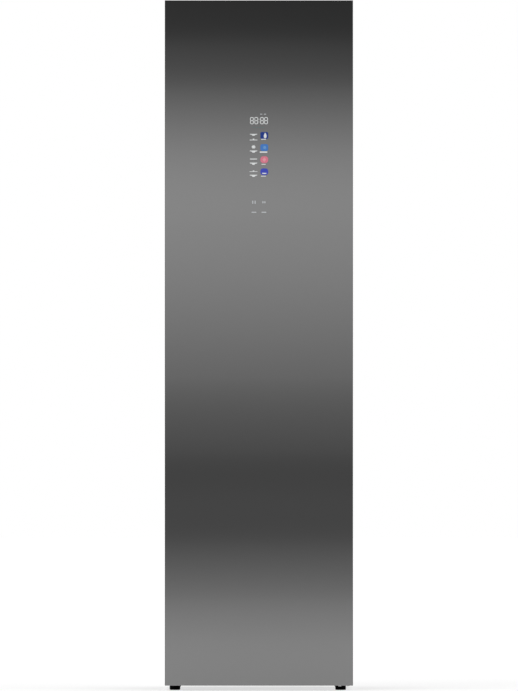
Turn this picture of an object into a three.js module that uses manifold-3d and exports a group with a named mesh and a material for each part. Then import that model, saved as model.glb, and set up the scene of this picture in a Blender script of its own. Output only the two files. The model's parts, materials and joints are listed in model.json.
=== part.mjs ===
// A clothes care steam cabinet: a tall, slim steel cabinet behind one full-height tinted glass door.
// The hanging cabin has a shaking hanger bar, hangers and a shelf. Two water tanks and a lint filter
// lift out of its floor, and a heat pump, a blower and a steam generator stand below it.
// Millimetres. X points right, Y to the back, Z up. The origin is on the floor, under the middle.

import * as THREE from "three";
import { mergeVertices } from "three/addons/utils/BufferGeometryUtils.js";
import Module from "manifold-3d";

const wasm = await Module();
wasm.setup();

// Driving dimensions
const overall = { width: 500, height: 1834, depth: 600 };
const fit = {
  seat: 0.3, // between two pieces that rest on each other
  turn: 0.3, // round a pin or a shaft in its hole
  slide: 1.2, // round a piece that lifts out of its well
  overrun: 5, // how far a cut runs past the face that it opens
};
const shell = {
  sheet: 1, // side panels, top and back
  floorGap: 13, // floor up to the lower edge of the door
  baseLift: 4, // lower edge of the door up to the underside of the cabinet
  topDrop: 8, // upper edge of the door down to the top of the cabinet
  flange: 15, // folded edges
};
const door = {
  thickness: 58,
  gap: 6, // closed door to the cabinet's front face
  pane: 4,
  edge: 1.5, // how far the frame stays inside the edge of the glass
  wall: 3,
  flange: 28,
  skin: 2.5, // inner liner
};
const hinge = {
  sideInset: 15, // hinge axis to the right-hand edge of the door
  setback: 30, // hinge axis to the door's back face
  plate: 3,
  armWidth: 24,
  lap: 21, // how far the plate reaches over or under the cabinet
  leafWidth: 42,
  pin: 5,
  pinLength: 15,
  endPlay: 1.3,
};
const cabin = {
  sideSpace: 40, // outside of the cabinet to the inside of the cabin
  rearSpace: 76,
  machineHeight: 413, // underside of the cabinet to the cabin floor
  headroom: 126, // cabin ceiling to the top of the cabinet
  wall: 2.5,
  floorPlate: 3,
};
const gland = {
  rim: 2.3, // how far it stands out behind the rear panel, seat included
  rimRadius: 15,
  neckRadius: 11,
  boreRadius: 4.5,
  insideLength: 14,
  collar: 3,
  sideInset: 60,
  height: 110,
};

// Planes and places that the dimensions above give
const halfWidth = overall.width / 2;
const glassFront = -overall.depth / 2;
const doorBottom = shell.floorGap;
const doorTop = overall.height;
const doorBack = glassFront + door.thickness;
const caseFront = doorBack + door.gap;
const caseRear = overall.depth / 2 - gland.rim;
const caseBottom = shell.floorGap + shell.baseLift;
const caseTop = overall.height - shell.topDrop;
const pivot = { x: halfWidth - hinge.sideInset, y: doorBack - hinge.setback };
const hingeLeaf = [pivot.x + hinge.armWidth / 2 - hinge.leafWidth, pivot.x + hinge.armWidth / 2];
const innerHalf = halfWidth - shell.sheet - fit.seat;
const innerRear = caseRear - 2 * (shell.sheet + fit.seat);
const cabinHalf = halfWidth - cabin.sideSpace;
const cabinFloor = caseBottom + cabin.machineHeight;
const cabinCeiling = caseTop - cabin.headroom;
const cabinRear = caseRear - cabin.rearSpace;
const facets = { hole: 16, round: 20, fine: 28, arc: 4, tube: 8 };

// Shape helpers

const axes = {
  x: new THREE.Vector3(1, 0, 0),
  y: new THREE.Vector3(0, 1, 0),
  z: new THREE.Vector3(0, 0, 1),
};

// The three directions that an outline's own X, its own Y and its depth take.
const layouts = {
  x: [axes.y, axes.z, axes.x],
  y: [axes.x, axes.z, axes.y.clone().negate()],
  z: [axes.x, axes.y, axes.z],
};

// A range of a full size about its middle.
const about = (middle, size) => [middle - size / 2, middle + size / 2];

// A range made larger by the same amount at both ends, or smaller by a negative one.
const grown = ([from, to], by) => [from - by, to + by];

// A range from two ends in either order.
const ordered = (a, b) => [Math.min(a, b), Math.max(a, b)];

// A closed three.js geometry as a solid that can be joined and cut.
function solid(geometry) {
  const bare = geometry.clone();
  bare.deleteAttribute("normal");
  bare.deleteAttribute("uv");
  const merged = mergeVertices(bare);
  const mesh = new wasm.Mesh({
    numProp: 3,
    vertProperties: merged.attributes.position.array,
    triVerts: new Uint32Array(merged.index.array),
  });
  return new wasm.Manifold(mesh);
}

function joined(...bodies) {
  return bodies.flat().reduce((sum, body) => sum.add(body));
}

function cut(body, ...holes) {
  return holes.flat().reduce((rest, hole) => rest.subtract(hole), body);
}

// A solid turned back into a geometry.
function geometryOf(body) {
  const mesh = body.getMesh();
  const geometry = new THREE.BufferGeometry();
  geometry.setAttribute("position", new THREE.BufferAttribute(mesh.vertProperties, mesh.numProp));
  geometry.setIndex(new THREE.BufferAttribute(mesh.triVerts, 1));
  geometry.computeVertexNormals();
  return geometry;
}

// A box given as its range along X, Y and Z.
function block([x0, x1], [y0, y1], [z0, z1]) {
  const box = new THREE.BoxGeometry(x1 - x0, y1 - y0, z1 - z0);
  box.translate((x0 + x1) / 2, (y0 + y1) / 2, (z0 + z1) / 2);
  return solid(box);
}

// An outline extruded along an axis, from one coordinate to another.
function plate(outline, axis, [from, to]) {
  const extruded = new THREE.ExtrudeGeometry(outline, {
    depth: to - from,
    bevelEnabled: false,
    curveSegments: facets.arc,
  });
  extruded.applyMatrix4(new THREE.Matrix4().makeBasis(...layouts[axis]));
  const start = axes[axis].clone().multiplyScalar(axis === "y" ? to : from);
  extruded.translate(start.x, start.y, start.z);
  return solid(extruded);
}

// A round bar or hole along an axis, through a point of which the axis's own coordinate is left out.
function rod(axis, radius, [from, to], [a, b], sides = facets.hole) {
  const circle = new THREE.Shape();
  for (let i = 0; i < sides; i++) {
    const angle = (2 * Math.PI * i) / sides;
    const point = [a + radius * Math.cos(angle), b + radius * Math.sin(angle)];
    if (i === 0) circle.moveTo(...point);
    else circle.lineTo(...point);
  }
  return plate(circle, axis, [from, to]);
}

// A profile of [radius, height] points turned about a vertical line through the origin.
function turned(profile, sides = facets.round) {
  const points = profile.map(([radius, height]) => new THREE.Vector2(radius, height));
  const lathe = new THREE.LatheGeometry(points, sides);
  lathe.rotateX(Math.PI / 2);
  return solid(lathe);
}

// Points of an arc about a centre, between two angles in radians.
function arcPoints([cx, cy], radius, from, to, steps) {
  return Array.from({ length: steps + 1 }, (_, i) => {
    const angle = from + ((to - from) * i) / steps;
    return [cx + radius * Math.cos(angle), cy + radius * Math.sin(angle)];
  });
}

function outlineOf(points) {
  return new THREE.Shape(points.map(([a, b]) => new THREE.Vector2(a, b)));
}

function roundedRectangle([a0, a1], [b0, b1], radius, steps = facets.arc) {
  const quarter = Math.PI / 2;
  return outlineOf([
    ...arcPoints([a1 - radius, b0 + radius], radius, -quarter, 0, steps),
    ...arcPoints([a1 - radius, b1 - radius], radius, 0, quarter, steps),
    ...arcPoints([a0 + radius, b1 - radius], radius, quarter, 2 * quarter, steps),
    ...arcPoints([a0 + radius, b0 + radius], radius, 2 * quarter, 3 * quarter, steps),
  ]);
}

// A round tube that follows a smooth curve through points.
function tube(points, radius, steps, sides = facets.tube) {
  const stations = points.map((point) => new THREE.Vector3(...point));
  const route = new THREE.CatmullRomCurve3(stations, false, "centripetal");
  const section = outlineOf(arcPoints([0, 0], radius, 0, 2 * Math.PI, sides).slice(0, sides));
  return solid(new THREE.ExtrudeGeometry(section, { steps, extrudePath: route }));
}

// Finishes
function finish(color, roughness, metalness) {
  return new THREE.MeshStandardMaterial({ color, roughness, metalness });
}

const finishes = {
  tintedGlass: finish(0x4c4d4f, 0.12, 0.4),
  caseSteel: finish(0x35373a, 0.45, 0.3),
  zinc: finish(0xaeb1b4, 0.42, 0.85),
  stainless: finish(0xc4c6c8, 0.25, 0.95),
  aluminium: finish(0xc9cccf, 0.35, 0.9),
  copper: finish(0xb8734a, 0.35, 0.95),
  linerGrey: finish(0xd9dbdc, 0.5, 0),
  darkPlastic: finish(0x2b2c2e, 0.55, 0),
  blackPlastic: finish(0x0e0e0f, 0.6, 0),
  rubber: finish(0x1b1b1c, 0.85, 0),
  silicone: finish(0xe4e0d8, 0.6, 0),
  tankPlastic: finish(0xb9ccd6, 0.2, 0),
  foam: finish(0xf0f0ee, 0.9, 0),
  blackSteel: finish(0x161718, 0.4, 0.4),
  circuitBoard: finish(0x1f5c3a, 0.6, 0),
  lampLens: finish(0xfbf8ef, 0.35, 0),
};

// A named mesh of a solid, put into a group.
function addPiece(group, name, body, material, place = [0, 0, 0]) {
  const mesh = new THREE.Mesh(geometryOf(body), material);
  mesh.name = name;
  mesh.position.set(...place);
  group.add(mesh);
  return mesh;
}

// Front frame: the moulded bezel round the cabin's mouth and the service opening below it
const bezel = {
  plate: 3,
  rim: 3,
  rimDepth: 9,
  serviceSide: 55,
  serviceBottom: 43,
  serviceTop: 50,
  panelLap: 10,
  panel: 2,
};
const innerFront = caseFront + bezel.plate + fit.seat;
const floorUnderside = cabinFloor - cabin.floorPlate;
const linerHalf = cabinHalf + cabin.wall;
const linerTop = cabinCeiling + cabin.wall;
const service = {
  x: [-halfWidth + bezel.serviceSide, halfWidth - bezel.serviceSide],
  z: [caseBottom + bezel.serviceBottom, cabinFloor - bezel.serviceTop],
};

function frontFrame() {
  const plateRange = [caseFront, caseFront + bezel.plate];
  const rimRange = [caseFront + bezel.plate / 2, caseFront + bezel.plate + bezel.rimDepth];
  const through = grown(plateRange, fit.overrun);
  const linerSeat = {
    x: [-linerHalf - fit.seat, linerHalf + fit.seat],
    z: [floorUnderside - fit.seat, linerTop + fit.seat],
  };
  const rim = cut(
    block(grown(linerSeat.x, bezel.rim), rimRange, grown(linerSeat.z, bezel.rim)),
    block(linerSeat.x, grown(rimRange, fit.overrun), linerSeat.z),
  );
  const face = cut(
    block([-innerHalf, innerHalf], plateRange, [caseBottom, caseTop - shell.sheet - fit.seat]),
    block([-cabinHalf, cabinHalf], through, [cabinFloor, cabinCeiling]),
    block(service.x, through, service.z),
  );
  return joined(face, rim);
}

function lowerFrontPanel() {
  const front = [caseFront - fit.seat - bezel.panel, caseFront - fit.seat];
  return block(grown(service.x, bezel.panelLap), front, grown(service.z, bezel.panelLap));
}

// Feet: levelling feet on threaded stems. The right-hand ones stand further in, clear of the lower hinge.
const foot = {
  radius: 14.25,
  height: 14.2,
  topRound: 5,
  bottomRound: 3,
  stem: 4,
  stemLength: 24,
  leftInset: 26.5,
  rightInset: 32.5,
  frontInset: 40,
  rearInset: 40,
  bossRadius: 9,
  bossHeight: 16,
};
const footPlaces = {
  front_left_foot: [-halfWidth + foot.leftInset, caseFront + foot.frontInset, 0],
  front_right_foot: [halfWidth - foot.rightInset, caseFront + foot.frontInset, 0],
  rear_left_foot: [-halfWidth + foot.leftInset, caseRear - foot.rearInset, 0],
  rear_right_foot: [halfWidth - foot.rightInset, caseRear - foot.rearInset, 0],
};

function levellingFoot() {
  const quarter = Math.PI / 2;
  const lower = [foot.radius - foot.bottomRound, foot.bottomRound];
  const upper = [foot.radius - foot.topRound, foot.height - foot.topRound];
  return turned([
    [0, 0],
    ...arcPoints(lower, foot.bottomRound, -quarter, 0, 3),
    ...arcPoints(upper, foot.topRound, 0, quarter, 4),
    [foot.stem, foot.height],
    [foot.stem, foot.height + foot.stemLength],
    [0, foot.height + foot.stemLength],
  ]);
}

// Base tray: the pan that carries the machine, with a threaded boss over each foot
const tray = { sheet: 2, rim: 26 };
const trayFloor = caseBottom + tray.sheet;

function baseTray() {
  const x = [-innerHalf, innerHalf];
  const y = [innerFront, innerRear];
  const pan = cut(
    block(x, y, [caseBottom, caseBottom + tray.rim]),
    block(grown(x, -tray.sheet), grown(y, -tray.sheet), [trayFloor, caseBottom + tray.rim + fit.overrun]),
  );
  const places = Object.values(footPlaces).map(([px, py]) => [px, py]);
  const upright = [caseBottom, trayFloor + foot.bossHeight];
  const bosses = places.map((place) => rod("z", foot.bossRadius, upright, place));
  const holes = places.map((place) => rod("z", foot.stem + fit.turn, grown(upright, fit.overrun), place));
  return cut(joined(pan, bosses), holes);
}

// Steel casing
function sidePanel(side) {
  const outer = side * halfWidth;
  const inner = side * (halfWidth - shell.sheet);
  const lip = side * (halfWidth - shell.flange);
  const rear = caseRear - shell.sheet - fit.seat;
  const outline = outlineOf([
    [outer, caseFront],
    [outer, rear],
    [lip, rear],
    [lip, rear - shell.sheet],
    [inner, rear - shell.sheet],
    [inner, caseFront],
  ]);
  return plate(outline, "z", [caseBottom, caseTop - shell.sheet - fit.seat]);
}

function topCover() {
  const lid = block([-halfWidth, halfWidth], [caseFront, caseRear], [caseTop - shell.sheet, caseTop]);
  const flanges = [-1, 1].map((side) => {
    const edges = ordered(side * (innerHalf - shell.sheet), side * innerHalf);
    return block(edges, [innerFront, innerRear], [caseTop - shell.sheet - shell.flange, caseTop]);
  });
  return joined(lid, flanges);
}

const vent = { length: 90, width: 7, pitch: 18, rows: 7, columns: 2, columnPitch: 110, bottom: 70 };

function rearPanel() {
  const sheet = [caseRear - shell.sheet, caseRear];
  const panel = block([-halfWidth, halfWidth], sheet, [caseBottom, caseTop - shell.sheet - fit.seat]);
  const slots = [];
  for (let row = 0; row < vent.rows; row++) {
    for (let column = 0; column < vent.columns; column++) {
      const across = (column - (vent.columns - 1) / 2) * vent.columnPitch;
      const up = caseBottom + vent.bottom + row * vent.pitch;
      slots.push(block(about(across, vent.length), grown(sheet, fit.overrun), about(up, vent.width)));
    }
  }
  const bushing = rod("y", gland.neckRadius + fit.turn, grown(sheet, fit.overrun), glandPlace);
  return cut(panel, slots, bushing);
}

// Cable gland: a grommet in the rear panel. Its profile is turned about Z, then laid along Y.
const glandPlace = [halfWidth - gland.sideInset, caseBottom + gland.height];

function cableGland() {
  const rimFace = -fit.seat;
  const collarFace = shell.sheet + fit.seat;
  const profile = [
    [gland.boreRadius, -gland.rim],
    [gland.rimRadius, -gland.rim],
    [gland.rimRadius, rimFace],
    [gland.neckRadius, rimFace],
    [gland.neckRadius, collarFace],
    [gland.rimRadius, collarFace],
    [gland.rimRadius, collarFace + gland.collar],
    [gland.neckRadius, collarFace + gland.collar],
    [gland.neckRadius, gland.insideLength],
    [gland.boreRadius, gland.insideLength],
    [gland.boreRadius, -gland.rim],
  ];
  return turned(profile);
}

// Hinges: a plate on the top cover and its mirror image under the base tray, each with a pin
function hingePlate(flip) {
  const arm = hinge.armWidth / 2;
  const outline = outlineOf([
    ...arcPoints([pivot.x, pivot.y], arm, Math.PI, 2 * Math.PI, 2 * facets.arc),
    [hingeLeaf[1], caseFront + hinge.lap],
    [hingeLeaf[0], caseFront + hinge.lap],
    [hingeLeaf[0], caseFront],
    [pivot.x - arm, caseFront],
  ]);
  const face = flip ? caseBottom - fit.seat : caseTop + fit.seat;
  const thickness = flip ? [face - hinge.plate, face] : [face, face + hinge.plate];
  const pin = flip ? [thickness[0], face + hinge.pinLength] : [face - hinge.pinLength, thickness[1]];
  return joined(plate(outline, "z", thickness), rod("z", hinge.pin, pin, [pivot.x, pivot.y]));
}

const hingeCap = { wall: 1.5, slack: 0.7, drop: 0.8, back: 4 };

// A cap over the upper hinge's leaf, open towards the door for the arm
function hingeCover() {
  const cavity = {
    x: grown(hingeLeaf, hingeCap.slack),
    y: [caseFront, caseFront + hinge.lap + hingeCap.back],
    z: [caseTop + fit.seat, doorTop - hingeCap.drop - hingeCap.wall],
  };
  const outside = block(
    grown(cavity.x, hingeCap.wall),
    grown(cavity.y, hingeCap.wall),
    [cavity.z[0], cavity.z[1] + hingeCap.wall],
  );
  const armWay = block(
    grown(about(pivot.x, hinge.armWidth), hingeCap.slack),
    [caseFront - hingeCap.wall - fit.overrun, caseFront + fit.overrun],
    [cavity.z[0] - fit.overrun, cavity.z[0] + hinge.plate + hingeCap.slack],
  );
  return cut(outside, block(cavity.x, cavity.y, [cavity.z[0] - fit.overrun, cavity.z[1]]), armWay);
}

// Door: glass front, plastic channel frame, inner liner and seal
const frameHalf = halfWidth - door.edge;
const frameSpan = {
  x: [-frameHalf, frameHalf],
  y: [glassFront + door.pane + fit.seat, doorBack - door.skin - fit.seat],
  z: [doorBottom + door.edge, doorTop - door.edge],
};
const pocket = { armSlack: 3, reach: 20 };
const pocketFloor = {
  top: caseTop + fit.seat - hinge.endPlay,
  bottom: caseBottom - fit.seat + hinge.endPlay,
};
const grip = { bottom: 840, length: 420, depth: 22, opening: 28, wall: 2, setback: 13 };
const gripSpan = {
  x: [-frameHalf, -frameHalf + grip.depth],
  y: [glassFront + grip.setback, glassFront + grip.setback + grip.opening],
  z: [grip.bottom, grip.bottom + grip.length],
};

function doorFrame() {
  const open = grown(frameSpan.y, fit.overrun);
  const through = block(grown(frameSpan.x, -door.flange), open, grown(frameSpan.z, -door.flange));
  const channel = block(
    grown(frameSpan.x, -door.wall),
    grown(frameSpan.y, -door.wall),
    grown(frameSpan.z, -door.wall),
  );
  const armX = [pivot.x - hinge.armWidth / 2 - pocket.armSlack, halfWidth + fit.overrun];
  const armY = [pivot.y - pocket.reach, doorBack + fit.overrun];
  const topPocket = block(armX, armY, [pocketFloor.top, doorTop + fit.overrun]);
  const bottomPocket = block(armX, armY, [doorBottom - fit.overrun, pocketFloor.bottom]);
  const gripWindow = block(
    grown(gripSpan.x, fit.seat),
    grown(gripSpan.y, fit.seat),
    grown(gripSpan.z, fit.seat),
  );
  const ring = cut(block(frameSpan.x, frameSpan.y, frameSpan.z), through, channel);
  return cut(ring, topPocket, bottomPocket, gripWindow);
}

function gripCup() {
  const inside = block(
    [gripSpan.x[0] - fit.overrun, gripSpan.x[1] - grip.wall],
    grown(gripSpan.y, -grip.wall),
    grown(gripSpan.z, -grip.wall),
  );
  return cut(block(gripSpan.x, gripSpan.y, gripSpan.z), inside);
}

const bush = { width: 42, height: 20 };

function hingeBush(flip) {
  const right = frameHalf - door.wall - fit.seat;
  const y = grown(frameSpan.y, -door.wall - fit.seat);
  const z = flip
    ? [pocketFloor.bottom + fit.seat, pocketFloor.bottom + bush.height]
    : [pocketFloor.top - bush.height, pocketFloor.top - fit.seat];
  const bore = rod("z", hinge.pin + fit.turn, grown(z, fit.overrun), [pivot.x, pivot.y]);
  return cut(block([right - bush.width, right], y, z), bore);
}

const innerDoor = { edge: 6, endEdge: 22, bulge: 12, bulgeInset: 25 };

function doorLiner() {
  const across = [-cabinHalf + innerDoor.bulgeInset, cabinHalf - innerDoor.bulgeInset];
  const up = [cabinFloor + innerDoor.bulgeInset, cabinCeiling - innerDoor.bulgeInset];
  const sheet = block(
    grown(frameSpan.x, -innerDoor.edge),
    [doorBack - door.skin, doorBack],
    [doorBottom + innerDoor.endEdge, doorTop - innerDoor.endEdge],
  );
  const bulge = block(across, [doorBack - door.skin, doorBack + innerDoor.bulge], up);
  const hollow = block(
    grown(across, -door.skin),
    [doorBack - door.skin - fit.overrun, doorBack + innerDoor.bulge - door.skin],
    grown(up, -door.skin),
  );
  return cut(joined(sheet, bulge), hollow);
}

const seal = { reach: 18, band: 14 };

function doorGasket() {
  const x = [-cabinHalf - seal.reach, cabinHalf + seal.reach];
  const z = [cabinFloor - seal.reach, cabinCeiling + seal.reach];
  const y = [doorBack + fit.seat, caseFront - fit.seat];
  const middle = block(grown(x, -seal.band), grown(y, fit.overrun), grown(z, -seal.band));
  return cut(plate(roundedRectangle(x, z, seal.band), "y", y), middle);
}

// Display: a light guide and its circuit board behind the glass, seen through it when lit
const display = {
  topDrop: 278,
  height: 302,
  width: 64,
  guide: 6,
  guideWall: 2,
  cells: 4,
  board: 1.6,
  chips: 3,
  chip: 3,
  chipSide: 21,
  chipHeight: 8,
};
const displaySpan = {
  x: about(0, display.width),
  z: [doorTop - display.topDrop - display.height, doorTop - display.topDrop],
};
const guideBack = glassFront + door.pane + fit.seat + display.guide;

function lightGuide() {
  const front = glassFront + door.pane + fit.seat;
  const body = block(displaySpan.x, [front, guideBack], displaySpan.z);
  const pitch = display.height / display.cells;
  const cells = Array.from({ length: display.cells }, (_, i) => {
    const middle = displaySpan.z[0] + pitch * (i + 1 / 2);
    const wide = display.width - 2 * display.guideWall;
    const y = [front + display.guideWall, guideBack + fit.overrun];
    return block(about(0, wide), y, about(middle, pitch - 2 * display.guideWall));
  });
  return cut(body, cells);
}

function displayBoard() {
  const front = guideBack + fit.seat;
  const back = front + display.board;
  const pitch = display.height / display.chips;
  const chips = Array.from({ length: display.chips }, (_, i) => {
    const middle = displaySpan.z[0] + pitch * (i + 1 / 2);
    const y = [front, back + display.chip];
    return block(about(0, display.chipSide), y, about(middle, display.chipHeight));
  });
  const x = grown(displaySpan.x, display.board);
  return joined(block(x, [front, back], grown(displaySpan.z, display.board)), chips);
}

// Cabin
const shelf = {
  height: 308, // above the cabin floor
  ledge: 10,
  ledgeThick: 6,
  ledgeLength: 300,
  endSpace: 40,
  frameRod: 3.5,
  wire: 2,
  wires: 13,
};
const shelfTop = cabinFloor + shelf.height;
const cabinMiddle = (innerFront + cabinRear) / 2;
const bar = {
  radius: 9,
  drop: 45, // cabin ceiling to the bar's middle
  endGap: 10,
  stroke: 15, // each way
  post: 12,
  postDepth: 8,
  postSpread: 110,
  slotSlack: 2,
};
const postPlaces = [-bar.postSpread / 2, bar.postSpread / 2];

function cabinLiner() {
  const hollow = block(
    [-cabinHalf, cabinHalf],
    [innerFront - fit.overrun, cabinRear],
    [cabinFloor - fit.overrun, cabinCeiling],
  );
  const outside = block(
    [-linerHalf, linerHalf],
    [innerFront, cabinRear + cabin.wall],
    [cabinFloor + fit.seat, linerTop],
  );
  const ledges = [-1, 1].map((side) => {
    const edges = ordered(side * (cabinHalf - shelf.ledge), side * linerHalf);
    return block(edges, about(cabinMiddle, shelf.ledgeLength), [shelfTop - shelf.ledgeThick, shelfTop]);
  });
  const slots = postPlaces.map((x) => {
    const length = bar.post + 2 * (bar.stroke + bar.slotSlack);
    const width = bar.postDepth + 2 * bar.slotSlack;
    const z = grown([cabinCeiling, linerTop], fit.overrun);
    return block(about(x, length), about(cabinMiddle, width), z);
  });
  return cut(joined(cut(outside, hollow), ledges), slots);
}

// Wells in the cabin floor: a water tank on each side and the lint filter between them
const well = { wall: 2, frontSpace: 32, sideSpace: 10, divider: 7, underSpace: 197, backShare: 0.4234 };
const filter = {
  width: 76,
  height: 150,
  wall: 2,
  lip: 3,
  slots: 6,
  slotWidth: 5,
  slotInset: 6,
  tab: 3,
  tabHeight: 14,
  tabWidth: 36,
  meshRows: 4,
  meshColumns: 3,
};
const filterHalf = filter.width / 2 + fit.slide;
// The wells end at a share of the cabin's depth, and the heat pump's duct has the rest.
const wellY = [innerFront + well.frontSpace, innerFront + (cabinRear - innerFront) * well.backShare];
const tankWell = {
  x: [filterHalf + well.divider, cabinHalf - well.sideSpace],
  bottom: caseBottom + well.underSpace,
};
const tankMiddle = { x: (tankWell.x[0] + tankWell.x[1]) / 2, y: (wellY[0] + wellY[1]) / 2 };
const filterBottom = cabinFloor - filter.height;
const returnWindow = { side: 8, bottom: 20, top: 30 };
const returnSpan = {
  x: [-filterHalf + returnWindow.side, filterHalf - returnWindow.side],
  z: [filterBottom + returnWindow.bottom, cabinFloor - returnWindow.top],
};

// Air duct, which carries the coils and the blower below the rear of the cabin floor
const duct = { wall: 3, compressorBay: 190, rearSpace: 82, coilGap: 8 };
const ductSpan = {
  x: [-linerHalf, innerHalf - duct.compressorBay],
  y: [wellY[1] + well.wall + fit.seat, caseRear - shell.sheet - duct.rearSpace],
  z: [trayFloor + fit.seat, floorUnderside - fit.seat],
};
const ductInside = {
  x: grown(ductSpan.x, -duct.wall),
  y: grown(ductSpan.y, -duct.wall),
  floor: ductSpan.z[0] + duct.wall,
};
const ductDepth = ductInside.y[1] - ductInside.y[0];
const coilShare = 0.227; // of the duct's depth inside, for each coil
const blowerShare = 0.284;
const blower = {
  depth: ductDepth * blowerShare,
  wall: 2.5,
  tongueRadius: 60,
  endRadius: 90,
  tongueAngle: Math.PI / 3,
  turnSteps: 16,
  inlet: 44,
  wheel: 52,
  wheelFront: 11, // the wheel's running gaps to the housing
  wheelRear: 4,
  blade: 1.6,
  bladeChord: 9,
  blades: 14,
  bladeAngle: Math.PI / 5,
  disc: 2,
  shaft: 4,
  hub: 10,
};
const blowerMiddle = {
  x: (ductSpan.x[0] + ductSpan.x[1]) / 2,
  z: ductInside.floor + fit.seat + blower.endRadius,
};
const blowerY = [ductInside.y[1] - fit.seat - blower.depth, ductInside.y[1] - fit.seat];
const wheelDepth = blower.depth - 2 * blower.wall - blower.wheelFront - blower.wheelRear;
const outletSpan = {
  x: [
    blowerMiddle.x + blower.tongueRadius * Math.cos(blower.tongueAngle) + blower.wall,
    blowerMiddle.x + blower.endRadius - blower.wall,
  ],
  y: grown(blowerY, -blower.wall),
};
const nozzle = { flange: 16, flangeThick: 3, cap: 11, stem: 8, rise: 14, tail: 24, behindWell: 40 };
const nozzlePlace = [tankMiddle.x, wellY[1] + nozzle.behindWell];

function openWell([x0, x1], bottom, holes = []) {
  const x = [x0, x1];
  const walls = block(grown(x, well.wall), grown(wellY, well.wall), [bottom - well.wall, cabinFloor]);
  return { walls, holes: [block(x, wellY, [bottom, cabinFloor + fit.overrun]), ...holes] };
}

function cabinFloorMoulding() {
  const x = [-linerHalf, linerHalf];
  const y = [innerFront, cabinRear + cabin.wall];
  const sheet = block(x, y, [floorUnderside, cabinFloor]);
  const behindWell = [wellY[1] - fit.overrun, wellY[1] + well.wall + fit.overrun];
  const wells = [
    openWell(tankWell.x, tankWell.bottom),
    openWell([-tankWell.x[1], -tankWell.x[0]], tankWell.bottom),
    openWell([-filterHalf, filterHalf], filterBottom, [block(returnSpan.x, behindWell, returnSpan.z)]),
  ];
  const through = grown([floorUnderside, cabinFloor], fit.overrun);
  const outlet = block(outletSpan.x, outletSpan.y, through);
  const steamHole = rod("z", nozzle.stem + fit.turn, through, nozzlePlace);
  return cut(joined(sheet, wells.map((w) => w.walls)), wells.flatMap((w) => w.holes), outlet, steamHole);
}

const outletGrille = { thick: 2.5, lap: 10, slots: 7, bar: 3 };

function airGrille() {
  const x = grown(outletSpan.x, outletGrille.lap);
  const y = grown(outletSpan.y, outletGrille.lap);
  const z = [cabinFloor + fit.seat, cabinFloor + fit.seat + outletGrille.thick];
  const pitch = (outletSpan.y[1] - outletSpan.y[0]) / outletGrille.slots;
  const slots = Array.from({ length: outletGrille.slots }, (_, i) => {
    const middle = outletSpan.y[0] + pitch * (i + 1 / 2);
    return block(outletSpan.x, about(middle, pitch - outletGrille.bar), grown(z, fit.overrun));
  });
  return cut(plate(roundedRectangle(x, y, outletGrille.lap / 2), "z", z), slots);
}

function steamNozzle() {
  return turned([
    [0, -nozzle.tail],
    [nozzle.stem, -nozzle.tail],
    [nozzle.stem, fit.seat],
    [nozzle.flange, fit.seat],
    [nozzle.flange, fit.seat + nozzle.flangeThick],
    [nozzle.cap, fit.seat + nozzle.flangeThick],
    [nozzle.cap, nozzle.rise],
    [0, nozzle.rise + nozzle.flangeThick],
  ]);
}

const lamp = { length: 260, depth: 18, height: 8, inset: 8 };

function cabinLamp() {
  const y = [innerFront + lamp.inset, innerFront + lamp.inset + lamp.depth];
  const top = cabinCeiling - fit.seat;
  return block(about(0, lamp.length), y, [top - lamp.height, top]);
}

function wireShelf() {
  const x = grown([-cabinHalf, cabinHalf], -shelf.frameRod - fit.slide);
  const y = [innerFront + shelf.endSpace, cabinRear - shelf.endSpace];
  const z = shelfTop + fit.seat + shelf.frameRod;
  const long = grown(y, shelf.frameRod / 2);
  const wide = grown(x, shelf.frameRod / 2);
  const sides = x.map((edge) => rod("y", shelf.frameRod, long, [edge, z], facets.tube));
  const ends = y.map((edge) => rod("x", shelf.frameRod, wide, [edge, z], facets.tube));
  const pitch = (x[1] - x[0]) / (shelf.wires + 1);
  const wires = Array.from({ length: shelf.wires }, (_, i) =>
    rod("y", shelf.wire, y, [x[0] + pitch * (i + 1), z], facets.tube - 2),
  );
  return joined(sides, ends, wires);
}

// Water tanks, built about the middle of the top of the tank
const tank = { headSpace: 26, wall: 2.5, corner: 10, mouth: 15, mouthRise: 6, mouthBack: 38 };
const tankSize = {
  x: tankWell.x[1] - tankWell.x[0] - 2 * fit.slide,
  y: wellY[1] - wellY[0] - 2 * fit.slide,
  z: cabinFloor - tank.headSpace - tankWell.bottom - fit.seat,
};
const bail = {
  inset: 14, // its arm in from the tank's side
  bar: 8,
  thick: 6,
  lift: 14, // finger gap
  frontSpace: 29,
  pivotBack: 8,
  pin: 3,
  eye: 5,
  ear: 4,
  earHalf: 7,
};
const bailHalf = tankSize.x / 2 - bail.inset;
const bailAxis = { y: bail.pivotBack, z: bail.lift + bail.thick / 2 };

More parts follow.
